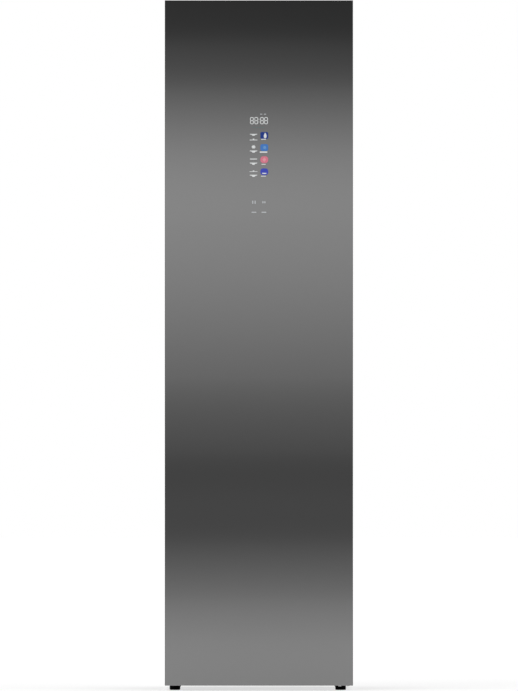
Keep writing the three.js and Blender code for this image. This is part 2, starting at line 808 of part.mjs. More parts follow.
function waterTank() {
  const x = about(0, tankSize.x);
  const y = about(0, tankSize.y);
  const outside = plate(roundedRectangle(x, y, tank.corner, 3), "z", [-tankSize.z, 0]);
  const innerCorner = tank.corner - tank.wall;
  const insideOutline = roundedRectangle(grown(x, -tank.wall), grown(y, -tank.wall), innerCorner, 3);
  const inside = plate(insideOutline, "z", [-tankSize.z + tank.wall, -tank.wall]);
  const mouthAt = [0, tankSize.y / 2 - tank.mouthBack];
  const collar = rod("z", tank.mouth + tank.wall, [-tank.wall, tank.mouthRise], mouthAt);
  const mouth = rod("z", tank.mouth, [-tank.wall - fit.overrun, tank.mouthRise + fit.overrun], mouthAt);
  const ears = [-1, 1].flatMap((side) => {
    const inner = side * (bailHalf - bail.bar - fit.turn - bail.ear);
    const outer = side * (bailHalf - bail.bar - fit.turn);
    const tip = side * (bailHalf + fit.turn);
    const y = about(bailAxis.y, 2 * bail.earHalf);
    const z = [-tank.wall, bailAxis.z + bail.earHalf / 2];
    return [
      block(ordered(inner, outer), y, z),
      rod("x", bail.pin, ordered(inner, tip), [bailAxis.y, bailAxis.z], facets.round / 2),
    ];
  });
  return cut(joined(outside, ears, collar), inside, mouth);
}

// The bail, folded forward over the tank
function tankBail() {
  const front = -tankSize.y / 2 + bail.frontSpace;
  const back = bailAxis.y + bail.bar / 2;
  const outline = outlineOf([
    [-bailHalf, front],
    [bailHalf, front],
    [bailHalf, back],
    [bailHalf - bail.bar, back],
    [bailHalf - bail.bar, front + bail.bar],
    [-bailHalf + bail.bar, front + bail.bar],
    [-bailHalf + bail.bar, back],
    [-bailHalf, back],
  ]);
  const holeReach = [-bailHalf - fit.overrun, bailHalf + fit.overrun];
  const eye = [bailAxis.y, bailAxis.z];
  const eyes = [-1, 1].map((side) => {
    const range = ordered(side * (bailHalf - bail.bar), side * bailHalf);
    return rod("x", bail.eye, range, eye, facets.round / 2);
  });
  const body = joined(plate(outline, "z", [bail.lift, bail.lift + bail.thick]), eyes);
  return cut(body, rod("x", bail.pin + fit.turn, holeReach, eye, facets.round / 2));
}

// Lint filter: a slotted lid with a pull tab over a cage whose rear window holds a mesh
function lintFilter() {
  const x = about(0, filter.width);
  const y = grown(wellY, -fit.slide);
  const top = cabinFloor;
  const cage = block(x, y, [filterBottom + fit.seat, top]);
  const inside = block(grown(x, -filter.wall), grown(y, -filter.wall), [
    filterBottom + fit.seat + filter.wall,
    top - filter.lip,
  ]);
  const lidPitch = (y[1] - y[0]) / (filter.slots + 2);
  const lidSlots = Array.from({ length: filter.slots }, (_, i) => {
    const row = i < filter.slots / 2 ? i : i + 1;
    const middle = y[0] + lidPitch * (row + 1);
    const across = filter.width - 2 * filter.slotInset;
    const z = grown([top - filter.lip, top], fit.overrun);
    return block(about(0, across), about(middle, filter.slotWidth), z);
  });
  const cellX = (returnSpan.x[1] - returnSpan.x[0]) / filter.meshColumns;
  const cellZ = (returnSpan.z[1] - returnSpan.z[0]) / filter.meshRows;
  const rear = [y[1] - filter.wall - fit.overrun, y[1] + fit.overrun];
  const mesh = [];
  for (let row = 0; row < filter.meshRows; row++) {
    for (let column = 0; column < filter.meshColumns; column++) {
      const across = about(returnSpan.x[0] + cellX * (column + 1 / 2), cellX - filter.wall);
      const up = about(returnSpan.z[0] + cellZ * (row + 1 / 2), cellZ - filter.wall);
      mesh.push(block(across, rear, up));
    }
  }
  const middleY = (y[0] + y[1]) / 2;
  const tabZ = [top - filter.lip, top + filter.tabHeight];
  const tab = block(about(0, filter.tabWidth), about(middleY, filter.tab), tabZ);
  return joined(cut(cage, inside, lidSlots, mesh), tab);
}

// Heat pump
function airDuct() {
  const inside = block(ductInside.x, ductInside.y, [ductInside.floor, ductSpan.z[1] + fit.overrun]);
  const frontWall = grown([ductSpan.y[0], ductInside.y[0]], fit.overrun);
  const rearWall = grown([ductInside.y[1], ductSpan.y[1]], fit.overrun);
  const inlet = block(returnSpan.x, frontWall, returnSpan.z);
  const shaftHole = rod("y", blower.shaft + 2 * fit.turn, rearWall, [blowerMiddle.x, blowerMiddle.z]);
  return cut(block(ductSpan.x, ductSpan.y, ductSpan.z), inside, inlet, shaftHole);
}

const coil = { topSpace: 165, spine: 6, fin: 1.2, fins: 20 };
const coilDepth = ductDepth * coilShare;
const coilSpan = {
  x: grown(ductInside.x, -duct.coilGap),
  z: [ductInside.floor + fit.seat, ductSpan.z[1] - coil.topSpace],
};
const evaporatorY = [ductInside.y[0] + duct.coilGap, ductInside.y[0] + duct.coilGap + coilDepth];
const condenserY = [evaporatorY[1] + duct.coilGap, evaporatorY[1] + duct.coilGap + coilDepth];

// A block of upright fins on a spine, seen from above as a comb.
function finnedCoil([front, rear]) {
  const pitch = (coilSpan.x[1] - coilSpan.x[0] - coil.fin) / (coil.fins - 1);
  const points = [[coilSpan.x[1], rear], [coilSpan.x[0], rear]];
  for (let i = 0; i < coil.fins; i++) {
    const left = coilSpan.x[0] + pitch * i;
    const right = left + coil.fin;
    const root = rear - coil.spine;
    if (i > 0) points.push([left, root]);
    points.push([left, front], [right, front]);
    if (i < coil.fins - 1) points.push([right, root]);
  }
  return plate(outlineOf(points), "z", coilSpan.z);
}

// The blower's scroll as seen from the front, drawn in by a wall's thickness for its inside.
function scrollOutline(inset, top) {
  const { x, z } = blowerMiddle;
  const tongue = x + blower.tongueRadius * Math.cos(blower.tongueAngle) + inset;
  const points = Array.from({ length: blower.turnSteps + 1 }, (_, i) => {
    const share = i / blower.turnSteps;
    const angle = blower.tongueAngle + (2 * Math.PI - blower.tongueAngle) * share;
    const radius = blower.tongueRadius + (blower.endRadius - blower.tongueRadius) * share - inset;
    return [x + radius * Math.cos(angle), z + radius * Math.sin(angle)];
  });
  return outlineOf([...points, [x + blower.endRadius - inset, top], [tongue, top]]);
}

function blowerHousing() {
  const top = ductSpan.z[1];
  const middle = [blowerMiddle.x, blowerMiddle.z];
  const shellBody = plate(scrollOutline(0, top), "y", blowerY);
  const inside = plate(scrollOutline(blower.wall, top + fit.overrun), "y", grown(blowerY, -blower.wall));
  const inlet = rod("y", blower.inlet, about(blowerY[0], 2 * fit.overrun), middle);
  const shaftHole = rod("y", blower.shaft + 2 * fit.turn, about(blowerY[1], 2 * fit.overrun), middle);
  return cut(shellBody, inside, inlet, shaftHole);
}

const motor = { radius: 32, length: 44, bore: 24, flange: 3, flangeRadius: 38 };
const wheelBack = blower.wheelRear + blower.wall + fit.seat + duct.wall + fit.seat;

// The blower's wheel with its shaft, built about the wheel's back disc
function blowerWheel() {
  const disc = rod("y", blower.wheel, [-blower.disc, 0], [0, 0], facets.fine);
  const rimY = [-wheelDepth, -wheelDepth + blower.disc];
  const rim = cut(
    rod("y", blower.wheel, rimY, [0, 0], facets.fine),
    rod("y", blower.wheel - blower.bladeChord, grown(rimY, blower.disc / 2), [0, 0]),
  );
  const blades = Array.from({ length: blower.blades }, (_, i) => {
    const blade = new THREE.BoxGeometry(blower.bladeChord, wheelDepth - blower.disc, blower.blade);
    blade.rotateY(blower.bladeAngle);
    blade.translate(blower.wheel - blower.bladeChord / 2 - blower.blade, -wheelDepth / 2, 0);
    blade.rotateY((2 * Math.PI * i) / blower.blades);
    return solid(blade);
  });
  const hub = rod("y", blower.hub, [-wheelDepth / 3, 0], [0, 0]);
  const shaft = rod("y", blower.shaft, [-blower.disc, wheelBack + motor.bore - motor.flange], [0, 0]);
  return joined(disc, rim, blades, hub, shaft);
}

function blowerMotor() {
  const flange = rod("y", motor.flangeRadius, [0, motor.flange], [0, 0]);
  const can = rod("y", motor.radius, [0, motor.length], [0, 0]);
  const bore = rod("y", blower.shaft + fit.turn, [-fit.overrun, motor.bore], [0, 0]);
  return cut(joined(flange, can), bore);
}

const compressor = {
  radius: 66,
  height: 170,
  dome: 30,
  lift: 12,
  foot: 9,
  plate: 3,
  plateHalf: 66,
  stub: 5,
  stubRise: 8,
  behindWell: 148,
};
const compressorMiddle = [(ductSpan.x[1] + innerHalf) / 2, wellY[1] + compressor.behindWell];
const compressorTop = compressor.lift + compressor.plate + compressor.height;

// Compressor can on its plate and rubber-foot columns, built about the middle of its footprint
function compressorCan() {
  const shoulder = compressorTop - compressor.dome;
  const base = compressor.lift;
  const neck = 2 * compressor.stub;
  const can = turned([
    [0, base],
    [compressor.radius, base],
    [compressor.radius, shoulder],
    ...arcPoints([compressor.radius - compressor.dome, shoulder], compressor.dome, 0, Math.PI / 2, 4),
    [neck, compressorTop],
    [compressor.stub, compressorTop + compressor.stubRise],
    [0, compressorTop + compressor.stubRise],
  ]);
  const half = compressor.plateHalf;
  const square = [-half, half];
  const foundation = block(square, square, [base, base + compressor.plate]);
  const corner = half - compressor.foot;
  const feet = [-corner, corner].flatMap((x) =>
    [-corner, corner].map((y) => rod("z", compressor.foot, [0, base + compressor.plate / 2], [x, y])),
  );
  return joined(can, foundation, feet);
}

const pipe = { radius: 4, rise: 60, lead: 18, suctionHeight: 330, suctionOut: 22 };

// Discharge pipe, from the top of the compressor to the condenser's side of the duct
function dischargePipe() {
  const [cx, cy] = compressorMiddle;
  const start = trayFloor + fit.seat + compressorTop + compressor.stubRise + fit.seat;
  const end = ductSpan.x[1] + fit.seat;
  const level = start + pipe.rise;
  const across = (condenserY[0] + condenserY[1]) / 2;
  return tube(
    [
      [cx, cy, start],
      [cx, cy, start + pipe.lead],
      [cx - pipe.lead, cy, level],
      [cx - 2 * pipe.lead, across, level],
      [end + pipe.lead, across, level],
      [end, across, level],
    ],
    pipe.radius,
    20,
  );
}

// Suction pipe, from the evaporator's side of the duct down to the side of the compressor
function suctionPipe() {
  const [cx, cy] = compressorMiddle;
  const start = ductSpan.x[1] + fit.seat;
  const level = trayFloor + pipe.suctionHeight;
  const side = cx + compressor.radius / 3;
  const front = cy - compressor.radius - pipe.suctionOut;
  const landing = trayFloor + compressor.lift + compressor.plate + compressor.height / 2;
  const reach = cy - Math.sqrt(compressor.radius ** 2 - (side - cx - pipe.radius) ** 2) - fit.seat;
  return tube(
    [
      [start, front, level],
      [start + pipe.lead, front, level],
      [side - pipe.lead, front, level],
      [side, front, level - pipe.lead],
      [side, front, landing + pipe.lead],
      [side, front + pipe.suctionOut / 2, landing],
      [side, reach, landing],
    ],
    pipe.radius,
    24,
  );
}

// Steam generator, below the drain tank, built about the middle of its footprint
const boiler = {
  width: 104,
  depth: 100,
  height: 96,
  corner: 16,
  lift: 14,
  leg: 8,
  band: 3,
  bandHeight: 8,
  port: 7,
  portLength: 10,
  portHeight: 70,
};

function steamGenerator() {
  const z = [boiler.lift, boiler.lift + boiler.height];
  const x = about(0, boiler.width);
  const y = about(0, boiler.depth);
  const body = plate(roundedRectangle(x, y, boiler.corner), "z", z);
  const band = plate(
    roundedRectangle(grown(x, boiler.band), grown(y, boiler.band), boiler.corner + boiler.band),
    "z",
    about((z[0] + z[1]) / 2, boiler.bandHeight),
  );
  const legs = [-1, 1].flatMap((sx) =>
    [-1, 1].map((sy) => {
      const at = [sx * (boiler.width / 2 - boiler.corner), sy * (boiler.depth / 2 - boiler.corner)];
      return rod("z", boiler.leg, [0, z[0] + boiler.band], at, facets.tube);
    }),
  );
  const rearReach = boiler.depth / 2 + boiler.portLength;
  const rearPort = rod("y", boiler.port, [0, rearReach], [0, boiler.lift + boiler.portHeight]);
  const sidePort = rod("x", waterHose.radius, [-boiler.width / 2 - boiler.portLength, 0], [
    pump.back,
    pump.lift + pump.radius,
  ]);
  return joined(body, band, legs, rearPort, sidePort);
}

const pump = {
  radius: 23,
  length: 66,
  drainLength: 60,
  lift: 18,
  foot: 10,
  port: 5,
  portLength: 12,
  back: 20, // the water pump, behind the middle of the tanks
  forward: 45, // the drain pump, in front of it
};
const waterHose = { radius: 5, sag: 10, lead: 16 };

// A pump lying along X on two feet, with a port on its right-hand end
function pumpBody(length, withPort) {
  const height = pump.lift + pump.radius;
  const can = rod("x", pump.radius, about(0, length), [0, height]);
  const feet = [-1, 1].map((side) => {
    const middle = (side * (length - pump.foot)) / 2 - (side * pump.foot) / 2;
    return block(about(middle, pump.foot), about(0, 2 * pump.radius - pump.foot), [0, height]);
  });
  const port = rod("x", pump.port, [0, length / 2 + pump.portLength], [0, height], facets.tube);
  return withPort ? joined(can, feet, port) : joined(can, feet);
}

const pumpPlace = [-tankMiddle.x, tankMiddle.y + pump.back];

function waterHoseTube() {
  const from = pumpPlace[0] + pump.length / 2 + pump.portLength + fit.seat;
  const to = tankMiddle.x - boiler.width / 2 - boiler.portLength - fit.seat;
  const level = trayFloor + fit.seat + pump.lift + pump.radius;
  const y = pumpPlace[1];
  return tube(
    [
      [from, y, level],
      [from + waterHose.lead, y, level],
      [(from + to) / 2, y, level - waterHose.sag],
      [to - waterHose.lead, y, level],
      [to, y, level],
    ],
    waterHose.radius,
    14,
  );
}

const steamHose = { radius: 8, lead: 22, bend: 40 };

function steamHoseTube() {
  const x = tankMiddle.x;
  const startY = tankMiddle.y + boiler.depth / 2 + boiler.portLength + fit.seat;
  const level = trayFloor + fit.seat + boiler.lift + boiler.portHeight;
  const end = cabinFloor - nozzle.tail - fit.seat;
  const [nx, ny] = nozzlePlace;
  return tube(
    [
      [x, startY, level],
      [x, startY + steamHose.lead, level],
      [(x + nx) / 2, ny - steamHose.radius / 2, level + steamHose.bend],
      [nx, ny, level + 2 * steamHose.bend],
      [nx, ny, end - steamHose.lead],
      [nx, ny, end],
    ],
    steamHose.radius,
    20,
  );
}

// Shaker: a motor above the ceiling turns a crank, whose pin slides the carriage and the hanger bar
const carriage = { lift: 10, thick: 6, width: 30, headWidth: 62, headLength: 30, reach: 40 };
const crank = {
  arm: 19.2,
  pin: 4,
  slotSlack: 0.8,
  disc: 28,
  discThick: 5,
  gap: 1.5,
  pinReach: 2,
  shaft: 4,
};
const guide = { length: 28, width: 52, spread: 280, roof: 5 };
const bridge = { half: 50, length: 76, sheet: 3, gap: 5, footLength: 16 };
const shakerMotor = { radius: 30, length: 52, bore: 14 };
const carriageZ = [linerTop + carriage.lift, linerTop + carriage.lift + carriage.thick];
const crankZ = [carriageZ[1] + crank.gap, carriageZ[1] + crank.gap + crank.discThick];
const bridgeZ = [crankZ[1] + bridge.gap, crankZ[1] + bridge.gap + bridge.sheet];

function shakerCarriage() {
  const half = guide.spread / 2 + carriage.reach;
  const arms = block([-half, half], about(cabinMiddle, carriage.width), carriageZ);
  const head = block(about(0, carriage.headLength), about(cabinMiddle, carriage.headWidth), carriageZ);
  const slotHalf = crank.pin + crank.slotSlack;
  const slotLength = 2 * (crank.arm + slotHalf);
  const slotZ = grown(carriageZ, fit.overrun);
  const slot = block([-slotHalf, slotHalf], about(cabinMiddle, slotLength), slotZ);
  return cut(joined(arms, head), slot);
}

function carriageGuide(x) {
  const z = [linerTop + fit.seat, carriageZ[1] + fit.turn + guide.roof];
  const window = block(
    grown(about(x, guide.length), fit.overrun),
    grown(about(cabinMiddle, carriage.width), fit.turn),
    grown(carriageZ, fit.turn),
  );
  return cut(block(about(x, guide.length), about(cabinMiddle, guide.width), z), window);
}

// Crank disc with its shaft and pin, built about its axis
function crankDisc() {
  const disc = rod("z", crank.disc, crankZ, [0, 0], facets.round);
  const pinZ = [carriageZ[0] - crank.pinReach, crankZ[1]];
  const pin = rod("z", crank.pin, pinZ, [0, crank.arm], facets.round / 2);
  const shaftZ = [crankZ[0], bridgeZ[1] + shakerMotor.bore - crank.gap];
  const shaft = rod("z", crank.shaft, shaftZ, [0, 0], facets.round / 2);
  return joined(disc, pin, shaft);
}

function shakerBridge() {
  const x = about(0, bridge.length);
  const y = [cabinMiddle - bridge.half, cabinMiddle + bridge.half];
  const foot = linerTop + fit.seat;
  const roof = block(x, y, bridgeZ);
  const legs = [
    block(x, [y[0], y[0] + bridge.sheet], [foot, bridgeZ[1]]),
    block(x, [y[1] - bridge.sheet, y[1]], [foot, bridgeZ[1]]),
    block(x, [y[0] - bridge.footLength, y[0] + bridge.sheet], [foot, foot + bridge.sheet]),
    block(x, [y[1] - bridge.sheet, y[1] + bridge.footLength], [foot, foot + bridge.sheet]),
  ];
  const hole = rod("z", crank.shaft + 2 * fit.turn, grown(bridgeZ, fit.overrun), [0, cabinMiddle]);
  return cut(joined(roof, legs), hole);
}

function shakerDrive() {
  const bottom = bridgeZ[1] + fit.seat;
  const can = rod("z", shakerMotor.radius, [bottom, bottom + shakerMotor.length], [0, cabinMiddle]);
  const boreZ = [bottom - fit.overrun, bottom + shakerMotor.bore];
  const bore = rod("z", crank.shaft + fit.turn, boreZ, [0, cabinMiddle]);
  return cut(can, bore);
}

const barHeight = cabinCeiling - bar.drop;

function hangerBar() {
  const half = cabinHalf - bar.stroke - bar.endGap;
  const rail = rod("x", bar.radius, [-half, half], [cabinMiddle, barHeight], facets.round);
  const top = carriageZ[0] - fit.seat;
  const postY = about(cabinMiddle, bar.postDepth);
  const posts = postPlaces.map((x) => block(about(x, bar.post), postY, [barHeight, top]));
  return joined(rail, posts);
}

// Clothes hangers, built about the centre of the bar
const hanger = {
  wallSpace: 38, // tip of a shoulder to the cabin's wall
  thick: 14,
  neck: 64, // bar's centre down to the top of the neck
  neckHalf: 9,
  drop: 52, // from the neck down to a tip
  shoulder: 17,
  wire: 2,
  hookSlack: 0.8,
  hookStart: -Math.PI / 3.2,
  hookEnd: Math.PI * 1.15,
  bendShare: 0.6, // of the neck, up to where the wire bends into the hook
  pitch: 110,
};
const hangerPlaces = { left_hanger: -hanger.pitch, middle_hanger: 0, right_hanger: hanger.pitch };

function clothesHanger() {
  const half = (cabinRear - innerFront) / 2 - hanger.wallSpace;
  const top = -hanger.neck;
  const tip = top - hanger.drop;
  const steps = 6;
  const bow = (from, to, sag) =>
    Array.from({ length: steps + 1 }, (_, i) => {
      const share = i / steps;
      const drop = 4 * sag * share * (1 - share);
      return [from[0] + (to[0] - from[0]) * share, from[1] + (to[1] - from[1]) * share + drop];
    });
  const upper = bow([hanger.neckHalf, top], [half, tip], hanger.shoulder / 3);
  const crotch = [0, top - hanger.shoulder - hanger.drop / 3];
  const lower = bow([half - hanger.shoulder / 3, tip - hanger.shoulder], crotch, 0);
  const right = [...upper, ...lower];
  const left = right
    .slice(0, -1)
    .reverse()
    .map(([y, z]) => [-y, z]);
  const body = plate(outlineOf([...right, ...left]), "x", about(0, hanger.thick));
  const hookRadius = bar.radius + hanger.hookSlack + hanger.wire;
  const hookArc = arcPoints([0, 0], hookRadius, hanger.hookStart, hanger.hookEnd, 12);
  const hook = tube(
    [
      [0, 0, top - hanger.shoulder / 2],
      [0, 0, top + hanger.neck / 4],
      [0, hookRadius / 4, top + hanger.neck * hanger.bendShare],
      ...hookArc.map(([y, z]) => [0, y, z]),
    ],
    hanger.wire,
    26,
    facets.tube - 2,
  );
  return joined(body, hook);
}

// Control board, on stand-offs on top of the cabin ceiling
const board = { x: 120, y: 90, thick: 1.6, standoff: 4, lift: 8, gap: 60, inset: 10, chip: 14 };
const chipShares = [
  { x: 0.25, y: 0.25, height: 1 },
  { x: 0.5, y: 0.5, height: 0.5 },
  { x: 0.75, y: 0.75, height: 0.35 },
];

function controlBoard() {
  const x = about(-guide.spread / 2, board.x);
  const front = cabinMiddle + guide.width / 2 + board.gap / 2;
  const y = [front, front + board.y];
  const bottom = linerTop + fit.seat;
  const z = [bottom + board.lift, bottom + board.lift + board.thick];
  const posts = grown(x, -board.inset).flatMap((px) =>
    grown(y, -board.inset).map((py) => rod("z", board.standoff, [bottom, z[1]], [px, py], facets.tube)),
  );
  const chips = chipShares.map(({ x: across, y: deep, height }) => {
    const chipX = about(x[0] + board.x * across, board.chip * 2);
    const chipY = about(y[0] + board.y * deep, board.chip);
    return block(chipX, chipY, [z[0], z[1] + board.chip * height]);
  });
  return joined(block(x, y, z), posts, chips);
}

// Assembly
const cabinet = new THREE.Group();
const f = finishes;

const casing = new THREE.Group();
addPiece(casing, "base_tray", baseTray(), f.zinc);
addPiece(casing, "left_side_panel", sidePanel(-1), f.caseSteel);
addPiece(casing, "right_side_panel", sidePanel(1), f.caseSteel);
addPiece(casing, "top_cover", topCover(), f.caseSteel);
addPiece(casing, "rear_panel", rearPanel(), f.zinc);
addPiece(casing, "front_frame", frontFrame(), f.darkPlastic);
addPiece(casing, "lower_front_panel", lowerFrontPanel(), f.darkPlastic);
addPiece(casing, "top_hinge", hingePlate(false), f.zinc);
addPiece(casing, "bottom_hinge", hingePlate(true), f.zinc);
addPiece(casing, "hinge_cover", hingeCover(), f.blackPlastic);
const glandAt = [glandPlace[0], caseRear, glandPlace[1]];
const glandMesh = addPiece(casing, "cable_gland", cableGland(), f.rubber, glandAt);
glandMesh.rotation.x = Math.PI / 2;
cabinet.add(casing);

const footBody = levellingFoot();
for (const [name, place] of Object.entries(footPlaces)) {
  addPiece(cabinet, name, footBody, f.blackPlastic, place);
}

// The door's group stands on the hinge axis, so turning it about Z opens the door.
const doorGroup = new THREE.Group();
doorGroup.position.set(pivot.x, pivot.y, 0);
const doorParts = new THREE.Group();
doorParts.position.set(-pivot.x, -pivot.y, 0);
const pane = block([-halfWidth, halfWidth], [glassFront, glassFront + door.pane], [doorBottom, doorTop]);
addPiece(doorParts, "door_glass", pane, f.tintedGlass);
addPiece(doorParts, "door_frame", doorFrame(), f.darkPlastic);
addPiece(doorParts, "door_liner", doorLiner(), f.linerGrey);
addPiece(doorParts, "door_gasket", doorGasket(), f.rubber);
addPiece(doorParts, "grip_cup", gripCup(), f.blackPlastic);
addPiece(doorParts, "top_hinge_bush", hingeBush(false), f.blackPlastic);
addPiece(doorParts, "bottom_hinge_bush", hingeBush(true), f.blackPlastic);
addPiece(doorParts, "light_guide", lightGuide(), f.foam);
addPiece(doorParts, "display_board", displayBoard(), f.circuitBoard);
doorGroup.add(doorParts);
cabinet.add(doorGroup);

const cabinGroup = new THREE.Group();
addPiece(cabinGroup, "cabin_liner", cabinLiner(), f.linerGrey);
addPiece(cabinGroup, "cabin_floor", cabinFloorMoulding(), f.linerGrey);
addPiece(cabinGroup, "air_grille", airGrille(), f.darkPlastic);
addPiece(cabinGroup, "steam_nozzle", steamNozzle(), f.darkPlastic, [...nozzlePlace, cabinFloor]);
addPiece(cabinGroup, "cabin_lamp", cabinLamp(), f.lampLens);
addPiece(cabinGroup, "wire_shelf", wireShelf(), f.stainless);
addPiece(cabinGroup, "lint_filter", lintFilter(), f.darkPlastic);
cabinet.add(cabinGroup);

const tankBody = waterTank();
const bailBody = tankBail();
for (const [name, side] of [["supply", -1], ["drain", 1]]) {
  const tankGroup = new THREE.Group();
  tankGroup.position.set(side * tankMiddle.x, tankMiddle.y, cabinFloor - tank.headSpace);
  addPiece(tankGroup, `${name}_tank`, tankBody, f.tankPlastic);
  addPiece(tankGroup, `${name}_tank_handle`, bailBody, f.darkPlastic);
  cabinet.add(tankGroup);
}

const machine = new THREE.Group();
const onTray = trayFloor + fit.seat;
addPiece(machine, "air_duct", airDuct(), f.foam);
addPiece(machine, "evaporator", finnedCoil(evaporatorY), f.aluminium);
addPiece(machine, "condenser", finnedCoil(condenserY), f.aluminium);
addPiece(machine, "blower_housing", blowerHousing(), f.blackPlastic);
const wheelPlace = [blowerMiddle.x, blowerY[1] - blower.wall - blower.wheelRear, blowerMiddle.z];
addPiece(machine, "blower_wheel", blowerWheel(), f.foam, wheelPlace);
const motorPlace = [blowerMiddle.x, ductSpan.y[1] + fit.seat, blowerMiddle.z];
addPiece(machine, "blower_motor", blowerMotor(), f.zinc, motorPlace);
addPiece(machine, "compressor", compressorCan(), f.blackSteel, [...compressorMiddle, onTray]);
addPiece(machine, "discharge_pipe", dischargePipe(), f.copper);
addPiece(machine, "suction_pipe", suctionPipe(), f.copper);
addPiece(machine, "steam_generator", steamGenerator(), f.aluminium, [tankMiddle.x, tankMiddle.y, onTray]);
addPiece(machine, "steam_hose", steamHoseTube(), f.silicone);
addPiece(machine, "water_pump", pumpBody(pump.length, true), f.blackPlastic, [...pumpPlace, onTray]);
addPiece(machine, "water_hose", waterHoseTube(), f.silicone);
const drainPumpPlace = [0, tankMiddle.y - pump.forward, onTray];
addPiece(machine, "drain_pump", pumpBody(pump.drainLength, false), f.blackPlastic, drainPumpPlace);
addPiece(machine, "control_board", controlBoard(), f.circuitBoard);
cabinet.add(machine);

const shaker = new THREE.Group();
addPiece(shaker, "shaker_bridge", shakerBridge(), f.zinc);
addPiece(shaker, "shaker_motor", shakerDrive(), f.blackSteel);
addPiece(shaker, "left_carriage_guide", carriageGuide(-guide.spread / 2), f.blackPlastic);
addPiece(shaker, "right_carriage_guide", carriageGuide(guide.spread / 2), f.blackPlastic);
addPiece(shaker, "crank_disc", crankDisc(), f.stainless, [0, cabinMiddle, 0]);
cabinet.add(shaker);

// The bar's group slides along X, and the hangers hang on it.
const barGroup = new THREE.Group();
addPiece(barGroup, "shaker_carriage", shakerCarriage(), f.zinc);
addPiece(barGroup, "hanger_bar", hangerBar(), f.stainless);
const hangerBody = clothesHanger();
for (const [name, x] of Object.entries(hangerPlaces)) {
  addPiece(barGroup, name, hangerBody, f.blackPlastic, [x, cabinMiddle, barHeight]);
}
cabinet.add(barGroup);

export default cabinet;
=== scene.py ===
"""Looks of a clothes care steam cabinet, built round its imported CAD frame.

Metres. X points right, Y to the back and Z up. The glass door faces -Y.
"""

import json
import logging
import math
from dataclasses import dataclass, replace
from enum import Enum
from typing import Callable, Iterable, Sequence

import bpy
from mathutils import Matrix, Vector

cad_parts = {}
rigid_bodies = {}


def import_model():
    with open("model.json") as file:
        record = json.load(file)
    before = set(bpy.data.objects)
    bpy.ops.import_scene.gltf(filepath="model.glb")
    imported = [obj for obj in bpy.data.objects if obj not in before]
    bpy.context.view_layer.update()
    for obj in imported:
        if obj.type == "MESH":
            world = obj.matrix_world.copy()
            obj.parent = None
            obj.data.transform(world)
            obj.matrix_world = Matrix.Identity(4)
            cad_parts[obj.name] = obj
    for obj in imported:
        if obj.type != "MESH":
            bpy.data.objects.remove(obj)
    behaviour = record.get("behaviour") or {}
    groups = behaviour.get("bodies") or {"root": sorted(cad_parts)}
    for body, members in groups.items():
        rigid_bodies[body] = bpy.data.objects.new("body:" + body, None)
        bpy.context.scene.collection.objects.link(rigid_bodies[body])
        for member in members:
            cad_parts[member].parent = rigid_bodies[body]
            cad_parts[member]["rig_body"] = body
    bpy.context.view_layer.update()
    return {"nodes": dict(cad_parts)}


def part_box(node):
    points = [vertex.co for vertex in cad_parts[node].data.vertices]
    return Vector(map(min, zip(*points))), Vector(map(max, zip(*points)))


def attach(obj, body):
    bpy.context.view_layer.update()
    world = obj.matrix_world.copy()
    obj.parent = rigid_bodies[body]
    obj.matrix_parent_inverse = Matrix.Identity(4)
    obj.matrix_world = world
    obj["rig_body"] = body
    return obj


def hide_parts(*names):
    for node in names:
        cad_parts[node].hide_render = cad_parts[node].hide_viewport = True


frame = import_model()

MM = 0.001
WELD = 1e-6
POINTING = 0.9
TUBE_SMOOTH = 50
EDGE_TURNS = (0, 0.5, 1, 1.57)
CABINET = "cabinet"
DOOR = "door"
log = logging.getLogger("cabinet")

Color = tuple[float, float, float]
Point = tuple[float, float, float]
Span = tuple[float, float]
FaceTest = Callable[[Vector, Vector], bool]
Socket = bpy.types.NodeSocket
FINISHED: list[bpy.types.Object] = []


def linear(tone: float) -> float:
    """Turns a display tone from 0 to 255 into the linear light that shaders take."""
    share = tone / 255
    return share / 12.92 if share <= 0.04045 else ((share + 0.055) / 1.055) ** 2.4


def shade(color: Color, factor: float) -> tuple[float, float, float, float]:
    """A colour made darker or lighter by a factor, with full opacity."""
    return (*(min(1.0, channel * factor) for channel in color), 1.0)


def grey(level: float) -> tuple[float, float, float, float]:
    """A grey of a linear level, with full opacity."""
    return (level, level, level, 1.0)


def body_of(node: str) -> str:
    """The name of the body that a CAD node rides on."""
    return frame["nodes"][node]["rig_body"]


def middle_of(node: str) -> Span:
    """The middle of a CAD node's footprint."""
    low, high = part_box(node)
    return ((low.x + high.x) / 2, (low.y + high.y) / 2)


def spaced(start: float, end: float, count: int) -> list[float]:
    """Places at even steps, both ends among them."""
    return [start + (end - start) * index / (count - 1) for index in range(count)]


def arc(middle: Span, radius: float, start: float, end: float, steps: int) -> list[Span]:
    """Points of an arc in a plane between two angles in degrees, both ends among them."""
    turns = [math.radians(angle) for angle in spaced(start, end, steps + 1)]
    return [(middle[0] + radius * math.cos(turn), middle[1] + radius * math.sin(turn)) for turn in turns]


def rounded_box(width: float, height: float, radius: float) -> list[Span]:
    """The outline of a rectangle with round corners, about the origin.

    Args:
        width: Its width.
        height: Its height.
        radius: The radius of its corners.

    Returns:
        The points of the outline.
    """
    across, up = width / 2 - radius, height / 2 - radius
    corners = [((across, -up), -90), ((across, up), 0), ((-across, up), 90), ((-across, -up), 180)]
    return [point for corner, start in corners for point in arc(corner, radius, start, start + 90, 5)]


def upper_edge(radius: float, top: float, soft: float, turns: Sequence[float] = EDGE_TURNS) -> list[Span]:
    """The profile steps of a rounded upper edge, from the side inwards."""
    return [(radius - soft * (1 - math.cos(turn)), top - soft * (1 - math.sin(turn))) for turn in turns]


def lower_edge(radius: float, soft: float, turns: Sequence[float] = EDGE_TURNS) -> list[Span]:
    """The profile steps of a rounded lower edge at height nought, from the underside outwards."""
    return [(radius - soft * (1 - math.sin(turn)), soft * (1 - math.cos(turn))) for turn in turns]


